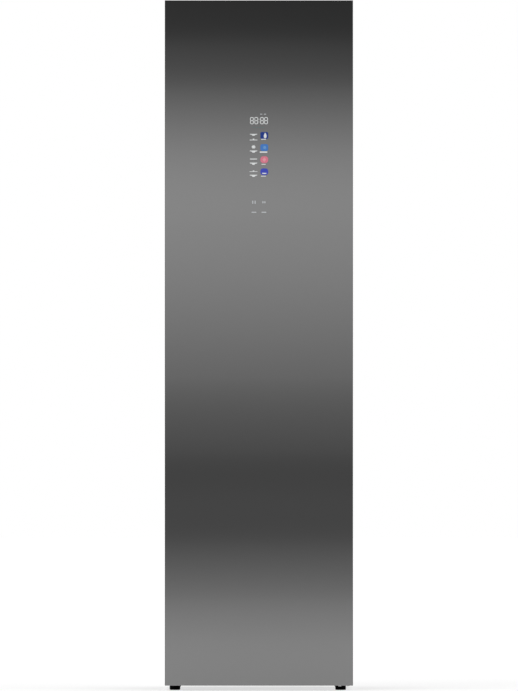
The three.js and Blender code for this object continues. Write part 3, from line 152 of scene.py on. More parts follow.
def pressed_band(radius: float, start: float, band: float) -> list[Span]:
    """The profile steps of a band that is pressed into the side of a can."""
    inner = radius - band
    return [(radius, start), (inner, start + band), (inner, start + 3 * band), (radius, start + 4 * band)]


class Facing(Enum):
    """Where the top of a piece that was modelled upright points once it is laid."""

    UP = (("X", 0),)
    DOWN = (("X", 180),)
    BACK = (("X", -90),)
    FRONT = (("X", 90),)
    RIGHT = (("Y", 90),)
    SIDE = (("X", 90), ("Z", 90))

    def turn(self) -> Matrix:
        """The rotation that lays the piece.

        Returns:
            The whole rotation, in the order of its steps.
        """
        whole = Matrix.Identity(4)
        for axis, degrees in self.value:
            whole = Matrix.Rotation(math.radians(degrees), 4, axis) @ whole
        return whole


class Side(Enum):
    """A side of a piece, told by where its faces point."""

    TOP = (0, 0, 1)
    BOTTOM = (0, 0, -1)
    FRONT = (0, -1, 0)
    BACK = (0, 1, 0)

    def has(self, middle: Vector, normal: Vector) -> bool:
        """Whether a face with this middle and normal is on the side."""
        return normal.dot(self.value) > POINTING


class Relief(Enum):
    """The fine structure of a surface."""

    GRAIN = "grain"
    BRUSHED = "brushed"
    BEADS = "beads"
    TRACES = "traces"


class Graph:
    """The node tree of one material, filled from its shader backwards."""

    def __init__(self, name: str) -> None:
        """Makes a material that holds a bare shader.

        Args:
            name: The material's name.
        """
        self.material = bpy.data.materials.new(name)
        self.material.use_nodes = True
        self.tree = self.material.node_tree
        self.tree.nodes.clear()
        self.shader = self.add("ShaderNodeBsdfPrincipled")
        output = self.add("ShaderNodeOutputMaterial")
        self.tree.links.new(self.shader.outputs[0], output.inputs[0])
        self.place = self.add("ShaderNodeTexCoord").outputs["Object"]

    def put(self, socket: Socket, value: object) -> None:
        """Sets an input to a value, or links it to a socket.

        Args:
            socket: The input.
            value: A plain value, or the socket that it comes from.
        """
        if isinstance(value, Socket):
            self.tree.links.new(value, socket)
        else:
            socket.default_value = value

    def add(self, kind: str, **inputs: object) -> bpy.types.Node:
        """Adds a node.

        Args:
            kind: The node's type.
            **inputs: Values or sockets for its inputs, with _ for a space in a name.

        Returns:
            The new node.
        """
        node = self.tree.nodes.new(kind)
        self.feed(node, **inputs)
        return node

    def feed(self, node: bpy.types.Node, **inputs: object) -> None:
        """Sets or links some inputs of a node, named with _ for a space."""
        for key, value in inputs.items():
            self.put(node.inputs[key.replace("_", " ")], value)

    def stretched(self, scale: Point) -> Socket:
        """The object's coordinates, scaled along each axis."""
        return self.add("ShaderNodeMapping", Vector=self.place, Scale=scale).outputs[0]

    def ramp(self, value: Socket, stops: Sequence[tuple[float, Sequence[float]]],
             blend: str = "LINEAR") -> Socket:
        """Turns a value into a colour by named stops.

        Args:
            value: The socket that drives the ramp, from 0 to 1.
            stops: Pairs of position and colour.
            blend: How the ramp runs between its stops.

        Returns:
            The colour socket.
        """
        node = self.add("ShaderNodeValToRGB", Fac=value)
        node.color_ramp.interpolation = blend
        elements = node.color_ramp.elements
        while len(elements) < len(stops):
            elements.new(1.0)
        for element, (position, color) in zip(elements, stops):
            element.position = position
            element.color = color
        return node.outputs[0]

    def math(self, operation: str, *values: object) -> Socket:
        """Works out a value from one or two others.

        Args:
            operation: What is done with them.
            *values: Numbers or sockets.

        Returns:
            The socket of the result.
        """
        node = self.tree.nodes.new("ShaderNodeMath")
        node.operation = operation
        for socket, value in zip(node.inputs, values):
            self.put(socket, value)
        return node.outputs[0]


@dataclass(frozen=True)
class Finish:
    """A surface: its colour and gloss, and the fine relief that breaks them up.

    Attributes:
        name: Its own name.
        slot: The record's material slot that it belongs to. It is not used.
        color: Its linear colour.
        roughness: How dull it is, from 0 to 1.
        relief: The kind of fine structure.
        grain: The size of that structure, in metres.
        depth: How deep the structure is, in metres.
        mottle: How far the colour wanders, as a share of it.
        stretch: How the structure is scaled along X, Y and Z.
        metallic: How far it is a metal.
        specular: The strength of its plain gloss.
        coat: The strength of a clear coat.
        transmission: How much light goes through it.
        emission: How strongly it shines by itself.
        dull_share: The roughness in the structure's hollows, as a share of the roughness.
        bright_share: The roughness on its crests, as a share of the roughness.
        patch_scale: How many slow patches of colour a metre holds.
        patch_share: The patches' part in the colour, against the fine structure's.
    """

    name: str
    slot: str
    color: Color
    roughness: float
    relief: Relief = Relief.GRAIN
    grain: float = 0.7 * MM
    depth: float = 0.015 * MM
    mottle: float = 0.05
    stretch: Point = (1.0, 1.0, 1.0)
    metallic: float = 0.0
    specular: float = 0.5
    coat: float = 0.0
    transmission: float = 0.0
    emission: float = 0.0
    dull_share: float = 0.88
    bright_share: float = 1.14
    patch_scale: float = 9.0
    patch_share: float = 0.7

    def material(self) -> bpy.types.Material:
        """Makes the material once and returns the same one after that.

        Returns:
            The material that pieces with this finish share.
        """
        title = f"{self.name}_finish"
        found = bpy.data.materials.get(title)
        if found:
            return found
        graph = Graph(title)
        graph.feed(
            graph.shader,
            Metallic=self.metallic,
            Specular_IOR_Level=self.specular,
            Coat_Weight=self.coat,
            Coat_Roughness=0.08,
            Transmission_Weight=self.transmission,
        )
        if self.emission:
            graph.feed(graph.shader, Emission_Color=shade(self.color, 1), Emission_Strength=self.emission)
        structure = self.structure(graph)
        graph.feed(graph.shader, Base_Color=self.tint(graph, structure))
        dull, bright = self.roughness * self.dull_share, min(1.0, self.roughness * self.bright_share)
        spread = graph.ramp(structure, [(0.25, grey(dull)), (0.8, grey(bright))])
        graph.feed(graph.shader, Roughness=spread)
        bump = graph.add("ShaderNodeBump", Strength=0.6, Distance=self.depth, Height=structure)
        graph.feed(graph.shader, Normal=bump.outputs[0])
        return graph.material

    def structure(self, graph: Graph) -> Socket:
        """The fine structure, as a value from 0 to 1.

        Args:
            graph: The material's node tree.

        Returns:
            The socket that colour, gloss and relief read.
        """
        place = graph.stretched(self.stretch)
        scale = 1 / self.grain
        if self.relief is Relief.BEADS:
            cells = graph.add("ShaderNodeTexVoronoi", Vector=place, Scale=scale)
            return graph.math("MULTIPLY", cells.outputs["Distance"], 1.2)
        if self.relief is Relief.TRACES:
            tracks = graph.add("ShaderNodeTexBrick", Vector=place, Scale=scale, Mortar_Size=0.03)
            return tracks.outputs["Fac"]
        return graph.add("ShaderNodeTexNoise", Vector=place, Scale=scale, Detail=3.0).outputs[0]

    def tint(self, graph: Graph, structure: Socket) -> Socket:
        """The colour, with slow patches and the fine structure in it.

        Args:
            graph: The material's node tree.
            structure: The fine structure.

        Returns:
            The colour socket.
        """
        noise = graph.add("ShaderNodeTexNoise", Vector=graph.place, Scale=self.patch_scale, Detail=2.0)
        patches = graph.math("MULTIPLY", noise.outputs[0], self.patch_share)
        wander = graph.math("ADD", patches, graph.math("MULTIPLY", structure, 1 - self.patch_share))
        darker, lighter = 1 - self.mottle, 1 + self.mottle
        return graph.ramp(wander, [(0.3, shade(self.color, darker)), (0.7, shade(self.color, lighter))])


@dataclass(frozen=True)
class MirrorGlass(Finish):
    """Tinted mirror glass with a painted reflection, dark to light and back down the pane, and painted shade
    at its edges.

    Attributes:
        reflection_tones: Pairs of a height as a share of the pane and a display tone of the painted
            reflection.
        painted_side_shade: How much painted shade darkens the right edge against the left.
        corner: How much painted shade darkens the upper right corner on top of that.
        falloff: How fast the corner's share grows with the height.
        arris: The width of the ground edge, in metres.
        arris_shade: How much painted shade darkens the ground edge.
        painted_shade_color: The linear colour of the painted shade that these parts go towards.
    """

    reflection_tones: tuple[tuple[float, float], ...] = ()
    painted_side_shade: float = 0.02
    corner: float = 0.33
    falloff: float = 8.0
    arris: float = 1.5 * MM
    arris_shade: float = 0.35
    painted_shade_color: Color = (0.004, 0.005, 0.005)

    def tint(self, graph: Graph, structure: Socket) -> Socket:
        """The painted reflection at each height, with painted shade along the ground edges and at the upper
        right.

        Args:
            graph: The material's node tree.
            structure: The fine structure, which glass leaves out of its colour.

        Returns:
            The colour socket.
        """
        low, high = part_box("door_glass")
        axes = graph.add("ShaderNodeSeparateXYZ", Vector=graph.place).outputs
        height = graph.math("DIVIDE", graph.math("SUBTRACT", axes["Z"], low.z), high.z - low.z)
        across = graph.math("DIVIDE", axes["X"], high.x - low.x)
        # Painted reflection: a tone for each height of the pane.
        tone = graph.ramp(height, [(at, grey(linear(tone))) for at, tone in self.reflection_tones], "CARDINAL")
        # Painted shade along the ground edges at the left and right of the pane.
        outward = graph.math("ABSOLUTE", axes["X"])
        edge = graph.math("GREATER_THAN", outward, high.x - self.arris)
        # Painted shade: darker towards the right edge, and more so at the upper right corner.
        corner_shade = graph.math("MULTIPLY", graph.math("POWER", height, self.falloff), self.corner)
        rightward = graph.math("ADD", across, 0.5)
        painted_shading = graph.math("MULTIPLY", rightward, graph.math("ADD", corner_shade, self.painted_side_shade))
        share = graph.math("ADD", graph.math("MULTIPLY", edge, self.arris_shade), painted_shading)
        mix = graph.add("ShaderNodeMixRGB", Fac=share, Color1=tone, Color2=shade(self.painted_shade_color, 1))
        return mix.outputs[0]


def lit_finish(name: str, color: Color, emission: float = 0.0) -> Finish:
    """The finish of a lit mark of the display."""
    return Finish(name, "lamp_lens", color, 0.4, grain=3 * MM, mottle=0.02, emission=emission)


def tile_finish(name: str, color: Color) -> Finish:
    """The finish of a coloured tile of the display."""
    return Finish(name, "lamp_lens", color, 0.4, grain=3 * MM, specular=0.2)


CASE_STEEL = Finish("case_steel", "case_steel", (0.03, 0.032, 0.035), 0.5, grain=0.9 * MM, depth=0.03 * MM,
                    specular=0.3)
ZINC = Finish("zinc", "zinc", (0.52, 0.53, 0.54), 0.36, Relief.BEADS, 7 * MM, 0.01 * MM, 0.06, metallic=0.9)
SCREW_ZINC = Finish("screw_zinc", "zinc", (0.58, 0.58, 0.57), 0.3, grain=0.4 * MM, metallic=1.0)
STAINLESS = Finish("stainless", "stainless", (0.62, 0.63, 0.64), 0.2, Relief.BRUSHED, 0.5 * MM, 0.006 * MM,
                   stretch=(1, 0.03, 1), metallic=1.0)
BAR_STEEL = Finish("bar_steel", "stainless", (0.64, 0.65, 0.66), 0.18, Relief.BRUSHED, 0.4 * MM, 0.006 * MM,
                   stretch=(0.02, 1, 1), metallic=1.0)
ALUMINIUM = Finish("aluminium", "aluminium", (0.72, 0.73, 0.74), 0.32, Relief.BRUSHED, 0.6 * MM, 0.01 * MM,
                   stretch=(1, 1, 0.05), metallic=1.0)
COPPER = Finish("copper", "copper", (0.72, 0.36, 0.21), 0.28, grain=2.5 * MM, depth=0.01 * MM, mottle=0.14,
                metallic=1.0)
LINER = Finish("liner", "liner_grey", (0.69, 0.70, 0.71), 0.46, grain=0.8 * MM, depth=0.02 * MM, mottle=0.02)
DARK_PLASTIC = Finish("dark_plastic", "dark_plastic", (0.022, 0.023, 0.025), 0.55, grain=0.6 * MM,
                      depth=0.03 * MM, specular=0.25)
BLACK_PLASTIC = Finish("black_plastic", "black_plastic", (0.004, 0.004, 0.0045), 0.5, grain=0.7 * MM,
                       depth=0.03 * MM, specular=0.18)
FOOT_PLASTIC = Finish("foot_plastic", "black_plastic", (0.003, 0.003, 0.0033), 0.75, depth=0.03 * MM,
                      specular=0.03)
RUBBER = Finish("rubber", "rubber", (0.012, 0.012, 0.0125), 0.78, grain=0.5 * MM, depth=0.02 * MM,
                mottle=0.1, specular=0.25)
SILICONE = Finish("silicone", "silicone", (0.72, 0.69, 0.62), 0.38, grain=1.4 * MM, transmission=0.25)
TANK = Finish("tank", "tank_plastic", (0.56, 0.68, 0.76), 0.14, grain=1.8 * MM, depth=0.008 * MM,
              transmission=0.62)
FOAM = Finish("foam", "foam", (0.84, 0.84, 0.82), 0.85, Relief.BEADS, 4.5 * MM, 0.25 * MM, 0.04)
WHITE_PLASTIC = Finish("white_plastic", "foam", (0.82, 0.82, 0.80), 0.42, grain=0.8 * MM, depth=0.02 * MM,
                       mottle=0.02)
BLACK_STEEL = Finish("black_steel", "black_steel", (0.010, 0.0105, 0.0115), 0.3, grain=1.6 * MM,
                     depth=0.03 * MM, coat=0.4)
LAMINATE = Finish("laminate", "circuit_board", (0.012, 0.105, 0.05), 0.4, Relief.TRACES, 14 * MM, 0.02 * MM,
                  0.3)
CHIP = Finish("chip", "circuit_board", (0.012, 0.012, 0.013), 0.42, grain=0.3 * MM)
LENS = Finish("lens", "lamp_lens", (0.92, 0.9, 0.84), 0.25, grain=1.2 * MM, emission=0.35)
LIT_WHITE = lit_finish("lit_white", (0.7, 0.72, 0.72), 0.05)
LIT_CLOCK = lit_finish("lit_clock", (0.74, 0.76, 0.76), 0.08)
LIT_GREY = lit_finish("lit_grey", (0.52, 0.54, 0.56), 0.02)
LIT_TEAL = lit_finish("lit_teal", (0.1, 0.17, 0.17))
LIT_SKY = lit_finish("lit_sky", (0.12, 0.3, 0.62))
LIT_PINK = lit_finish("lit_pink", (0.78, 0.33, 0.38))
TILE_NAVY = tile_finish("tile_navy", (0.012, 0.04, 0.24))
TILE_BLUE = tile_finish("tile_blue", (0.06, 0.2, 0.56))
TILE_ROSE = tile_finish("tile_rose", (0.72, 0.2, 0.28))
TILE_INDIGO = tile_finish("tile_indigo", (0.05, 0.07, 0.48))
# Painted reflection: the display tone of the studio's reflection in the glass at each height, from the
# bottom of the pane up.
GLASS_REFLECTION_TONES = (
    (0.0, 138), (0.07, 135), (0.13, 112), (0.205, 75), (0.27, 63), (0.34, 69), (0.45, 103), (0.67, 137),
    (0.78, 129), (0.87, 89), (0.94, 52), (1.0, 30),
)
GLASS = MirrorGlass("glass", "tinted_glass", (0.2, 0.2, 0.2), 0.07, grain=40 * MM, depth=0.002 * MM,
                    specular=0.2, reflection_tones=GLASS_REFLECTION_TONES)


def clear_selection() -> None:
    """Leaves nothing selected, so that an operator takes only what comes next."""
    for obj in bpy.context.selected_objects:
        obj.select_set(False)


def focus(obj: bpy.types.Object) -> None:
    """Makes one object the only one that operators act on.

    Args:
        obj: The object.
    """
    clear_selection()
    obj.select_set(True)
    bpy.context.view_layer.objects.active = obj


def drawn(name: str, kind: str, points: Sequence[Sequence[float]], closed: bool) -> bpy.types.Curve:
    """Draws straight lines from point to point.

    Args:
        name: The curve's name.
        kind: Whether it lies flat or runs through space.
        points: The points.
        closed: Whether its end meets its start.

    Returns:
        The curve.
    """
    curve = bpy.data.curves.new(name, "CURVE")
    curve.dimensions = kind
    spline = curve.splines.new("POLY")
    spline.points.add(len(points) - 1)
    for knot, point in zip(spline.points, points):
        knot.co = (*point, 1)
    spline.use_cyclic_u = closed
    return curve


class Form:
    """A piece in the making, shaped by Blender's own modelling tools."""

    def __init__(self, obj: bpy.types.Object, name: str) -> None:
        """Takes an object, named, with its place put into its mesh.

        Args:
            obj: The object to shape.
            name: The piece's name.
        """
        self.obj = obj
        self.named(name)
        obj.data.name = name
        focus(obj)
        bpy.ops.object.transform_apply(location=True, rotation=True, scale=True)

    @classmethod
    def block(cls, name: str, low: Sequence[float], high: Sequence[float]) -> "Form":
        """Starts from a box.

        Args:
            name: The piece's name.
            low: Its corner with the lowest coordinates.
            high: Its opposite corner.

        Returns:
            The box.
        """
        clear_selection()
        low, high = Vector(low), Vector(high)
        bpy.ops.mesh.primitive_cube_add(size=1, location=(low + high) / 2, scale=high - low)
        return cls(bpy.context.object, name)

    @classmethod
    def turned(cls, name: str, profile: Sequence[Span], sides: int = 40) -> "Form":
        """Pushes a disc up and draws it in or out, step by step, about the Z axis.

        Args:
            name: The piece's name.
            profile: The radius and height of each step, from the bottom up.
            sides: How many sides a full turn has.

        Returns:
            The closed round piece.
        """
        clear_selection()
        radius, height = profile[0]
        bpy.ops.mesh.primitive_circle_add(
            vertices=sides, radius=radius, fill_type="NGON", location=(0, 0, height)
        )
        form = cls(bpy.context.object, name)
        bpy.ops.object.mode_set(mode="EDIT")
        bpy.ops.mesh.select_mode(type="FACE")
        bpy.ops.mesh.select_all(action="SELECT")
        for wider, higher in profile[1:]:
            bpy.ops.mesh.extrude_region_move(TRANSFORM_OT_translate={"value": (0, 0, higher - height)})
            growth = wider / radius
            bpy.ops.transform.resize(value=(growth, growth, 1), center_override=(0, 0, 0))
            radius, height = wider, higher
        bpy.ops.mesh.select_all(action="SELECT")
        bpy.ops.mesh.normals_make_consistent(inside=False)
        bpy.ops.object.mode_set(mode="OBJECT")
        return form

    @classmethod
    def outline(cls, name: str, points: Sequence[Span], thickness: float, edge: float = 0.0,
                facing: Facing = Facing.FRONT, place: Point = (0, 0, 0)) -> "Form":
        """Fills a flat outline and gives it a thickness and rounded edges.

        Args:
            name: The piece's name.
            points: The outline, across and up.
            thickness: How thick it is, half to each side of its plane.
            edge: The radius of its rounded edges.
            facing: Where its face points.
            place: Where its middle goes.

        Returns:
            The plate.
        """
        curve = drawn(name, "2D", [(across, up, 0) for across, up in points], closed=True)
        curve.fill_mode = "BOTH"
        curve.extrude = thickness / 2 - edge
        curve.offset = -edge
        curve.bevel_depth = edge
        curve.bevel_resolution = 3
        return cls.from_curve(curve, name).laid(facing, place)

    @classmethod
    def tube(cls, name: str, points: Sequence[Sequence[float]], radius: float, rings: int = 3,
             closed: bool = False) -> "Form":
        """Runs a round tube through points.

        Args:
            name: The piece's name.
            points: The points, close together on a bend.
            radius: The tube's radius.
            rings: How finely it is rounded.
            closed: Whether its end meets its start.

        Returns:
            The tube.
        """
        curve = drawn(name, "3D", points, closed)
        curve.bevel_depth = radius
        curve.bevel_resolution = rings
        curve.use_fill_caps = True
        return cls.from_curve(curve, name)

    @classmethod
    def from_curve(cls, curve: bpy.types.Curve, name: str) -> "Form":
        """Turns a curve into a closed mesh with welded seams.

        Args:
            curve: The curve.
            name: The piece's name.

        Returns:
            The mesh.
        """
        obj = bpy.data.objects.new(name, curve)
        bpy.context.collection.objects.link(obj)
        focus(obj)
        bpy.ops.object.convert(target="MESH")
        form = cls(bpy.context.object, name).welded()
        return form.do(bpy.ops.mesh.normals_make_consistent, inside=False)

    @classmethod
    def from_cad(cls, node: str, name: str, flat: bool = True) -> "Form":
        """A welded copy of a CAD node.

        Args:
            node: The CAD node.
            name: The new piece's name.
            flat: Whether its flat faces are made whole again.

        Returns:
            The copy.
        """
        obj = bpy.data.objects.new(name, frame["nodes"][node].data.copy())
        bpy.context.collection.objects.link(obj)
        form = cls(obj, name)
        obj.data.materials.clear()
        bpy.ops.mesh.customdata_custom_splitnormals_clear()
        form.welded()
        return form.do(bpy.ops.mesh.dissolve_limited, angle_limit=math.radians(0.4)) if flat else form

    def named(self, name: str) -> "Form":
        """Gives the object a name."""
        self.obj.name = name
        return self

    def welded(self) -> "Form":
        """Merges points that lie in one place."""
        return self.pick_all().do(bpy.ops.mesh.remove_doubles, threshold=WELD)

    def squared(self) -> "Form":
        """Cuts a box-like form at each of its own levels, so that its faces are all rectangles.

        Returns:
            This form.
        """
        for axis, direction in enumerate(Matrix.Identity(3)):
            levels = sorted({round(vertex.co[axis], 5) for vertex in self.obj.data.vertices})
            for level in levels[1:-1]:
                cut = {"plane_co": direction * level, "plane_no": direction, "threshold": WELD}
                self.pick_all().do(bpy.ops.mesh.bisect, **cut)
        return self.welded()

    def pick(self, test: FaceTest) -> "Form":
        """Selects faces.

        Args:
            test: Says of a face's middle and normal whether it is one of them.

        Returns:
            This form.
        """
        bpy.context.tool_settings.mesh_select_mode = (False, False, True)
        mesh = self.obj.data
        mesh.vertices.foreach_set("select", [False] * len(mesh.vertices))
        mesh.edges.foreach_set("select", [False] * len(mesh.edges))
        for face in mesh.polygons:
            face.select = test(face.center, face.normal)
        return self

    def pick_all(self) -> "Form":
        """Selects every face."""
        return self.pick(lambda middle, normal: True)

    def do(self, operator: Callable[..., set], **settings: object) -> "Form":
        """Runs one edit mode operator on what is selected.

        Args:
            operator: The operator.
            **settings: Its settings.

        Returns:
            This form.
        """
        focus(self.obj)
        bpy.ops.object.mode_set(mode="EDIT")
        operator(**settings)
        bpy.ops.object.mode_set(mode="OBJECT")
        return self

    def inset(self, thickness: float, depth: float = 0.0) -> "Form":
        """Insets the selected faces and moves them along their normals."""
        return self.do(bpy.ops.mesh.inset, thickness=thickness, depth=depth)

    def modified(self, kind: str, **settings: object) -> "Form":
        """Adds a modifier and applies it.

        Args:
            kind: The modifier's type.
            **settings: Its settings.

        Returns:
            This form.
        """
        modifier = self.obj.modifiers.new(kind, kind)
        for key, value in settings.items():
            setattr(modifier, key, value)
        focus(self.obj)
        bpy.ops.object.modifier_apply(modifier=modifier.name)
        return self

    def rounded(self, width: float, segments: int = 2, angle: float = 32) -> "Form":
        """Rounds the edges that are sharper than an angle in degrees."""
        return self.modified("BEVEL", width=width, segments=segments, limit_method="ANGLE",
                             angle_limit=math.radians(angle), miter_outer="MITER_ARC")

    def row(self, count: int, step: Point) -> "Form":
        """Repeats the piece at a steady step."""
        return self.modified("ARRAY", count=count, use_relative_offset=False, use_constant_offset=True,
                             constant_offset_displace=step)

    def cut_by(self, tool: "Form") -> "Form":
        """Takes another form's volume away, and that form with it.

        Args:
            tool: The form that cuts.

        Returns:
            This form.
        """
        self.modified("BOOLEAN", operation="DIFFERENCE", object=tool.obj, solver="EXACT")
        bpy.data.objects.remove(tool.obj)
        return self

    def joined(self, *others: "Form") -> "Form":
        """Takes other forms into this one, as solids of the same piece.

        Args:
            *others: The forms that it takes in.

        Returns:
            This form.
        """
        focus(self.obj)
        for other in others:
            other.obj.select_set(True)
        bpy.ops.object.join()
        return self

    def laid(self, facing: Facing, place: Sequence[float] = (0, 0, 0)) -> "Form":
        """Turns the upright piece and moves its origin to a place."""
        self.obj.data.transform(Matrix.Translation(place) @ facing.turn())
        return self

    @classmethod
    def union(cls, name: str, forms: Sequence["Form"]) -> "Form":
        """Makes one piece of several forms, which stay separate solids."""
        first, *others = forms
        return first.joined(*others).named(name)

    def twin(self, place: Matrix) -> "Form":
        """A copy with its own mesh.

        Args:
            place: The matrix that moves it.

        Returns:
            The copy.
        """
        obj = self.obj.copy()
        obj.data = self.obj.data.copy()
        bpy.context.collection.objects.link(obj)
        obj.data.transform(place)
        return Form(obj, self.obj.name)

    def at(self, places: Iterable[Sequence[float]]) -> "Form":
        """Puts the piece at several places, as separate solids of one object.

        Args:
            places: Where its origin goes.

        Returns:
            The whole.
        """
        twins = [self.twin(Matrix.Translation(place)) for place in places]
        name = self.obj.name
        bpy.data.objects.remove(self.obj)
        return Form.union(name, twins)

    def across(self, places: Iterable[float]) -> "Form":
        """Puts the piece at several places along X."""
        return self.at((x, 0, 0) for x in places)

    def around(self, count: int) -> "Form":
        """Repeats the piece at even angles about the Z axis."""
        steps = [Matrix.Rotation(2 * math.pi * index / count, 4, "Z") for index in range(1, count)]
        return self.joined(*(self.twin(step) for step in steps))

    def dress(self, finish: Finish, body: str, *nodes: str, smooth: float = 35) -> None:
        """Gives the piece its finish, seats it on its body and lists it as finished.

        Args:
            finish: The surface that it gets.
            body: The CAD body that it rides on.
            *nodes: CAD nodes that it stands for.
            smooth: Edges flatter than this angle, in degrees, are shaded smooth.
        """
        focus(self.obj)
        bpy.ops.object.shade_smooth_by_angle(angle=math.radians(smooth))
        self.modified("WEIGHTED_NORMAL", keep_sharp=True)
        self.obj.data.materials.clear()
        self.obj.data.materials.append(finish.material())
        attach(self.obj, body)
        if nodes:
            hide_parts(*nodes)
        FINISHED.append(self.obj)


def soften(node: str, finish: Finish, edge: float, segments: int = 2, square: bool = False) -> None:
    """Puts a copy with rounded edges in the place of a CAD node.

    Args:
        node: The CAD node.
        finish: The surface that the copy gets.
        edge: The radius of its edges.
        segments: How finely they are rounded.
        square: Whether it is cut into rectangles first, for faces with openings.
    """
    form = Form.from_cad(node, f"{node}_body")
    if square:
        form.squared()
    form.rounded(edge, segments).dress(finish, body_of(node), node)


def smooth_tube(node: str, finish: Finish, radius: float) -> None:
    """Puts a finely rounded copy in the place of a CAD tube.

    Args:
        node: The CAD node.
        finish: The surface that the copy gets.
        radius: The tube's radius, which subdividing would shrink.
    """
    form = Form.from_cad(node, f"{node}_body", flat=False).pick_all()
    form.do(bpy.ops.mesh.tris_convert_to_quads)
    focus(form.obj)
    bpy.ops.object.mode_set(mode="EDIT")
    bpy.ops.mesh.select_mode(type="EDGE")
    bpy.ops.mesh.select_all(action="DESELECT")
    bpy.ops.mesh.edges_select_sharp(sharpness=math.radians(60))
    bpy.ops.transform.edge_crease(value=1)
    bpy.ops.object.mode_set(mode="OBJECT")
    form.modified("SUBSURF", levels=2, render_levels=2)
    regained = radius * 0.08
    form.pick_all().do(bpy.ops.transform.shrink_fatten, value=regained)
    form.dress(finish, body_of(node), node, smooth=TUBE_SMOOTH)


@dataclass(frozen=True)
class Screw:
    """A pan-head screw with a cross recess, of which only the head shows."""

    radius: float = 4 * MM
    height: float = 2.2 * MM
    slot: float = 0.9 * MM
    reach: float = 0.55
    crown_start: float = 0.3
    recess_floor: float = 0.45

    def head(self, name: str) -> Form:
        """Models the head, upright, with its seat at the origin.

        Args:
            name: The name of the piece.

        Returns:
            The head.
        """
        rise = 1 - self.crown_start
        crown = [(self.radius * math.cos(turn), self.height * (self.crown_start + rise * math.sin(turn)))
                 for turn in (0, 0.45, 0.9, 1.25)]
        head = Form.turned(name, [(self.radius, 0), *crown], sides=24)
        reach = self.radius * self.reach
        for along, across in ((reach, self.slot / 2), (self.slot / 2, reach)):
            low = (-along, -across, self.height * self.recess_floor)
            head.cut_by(Form.block("recess", low, (along, across, self.height * 2)))
        return head


class Assembly:
    """A group of pieces that are made together."""

    def build(self) -> None:
        """Makes the pieces."""
        raise NotImplementedError


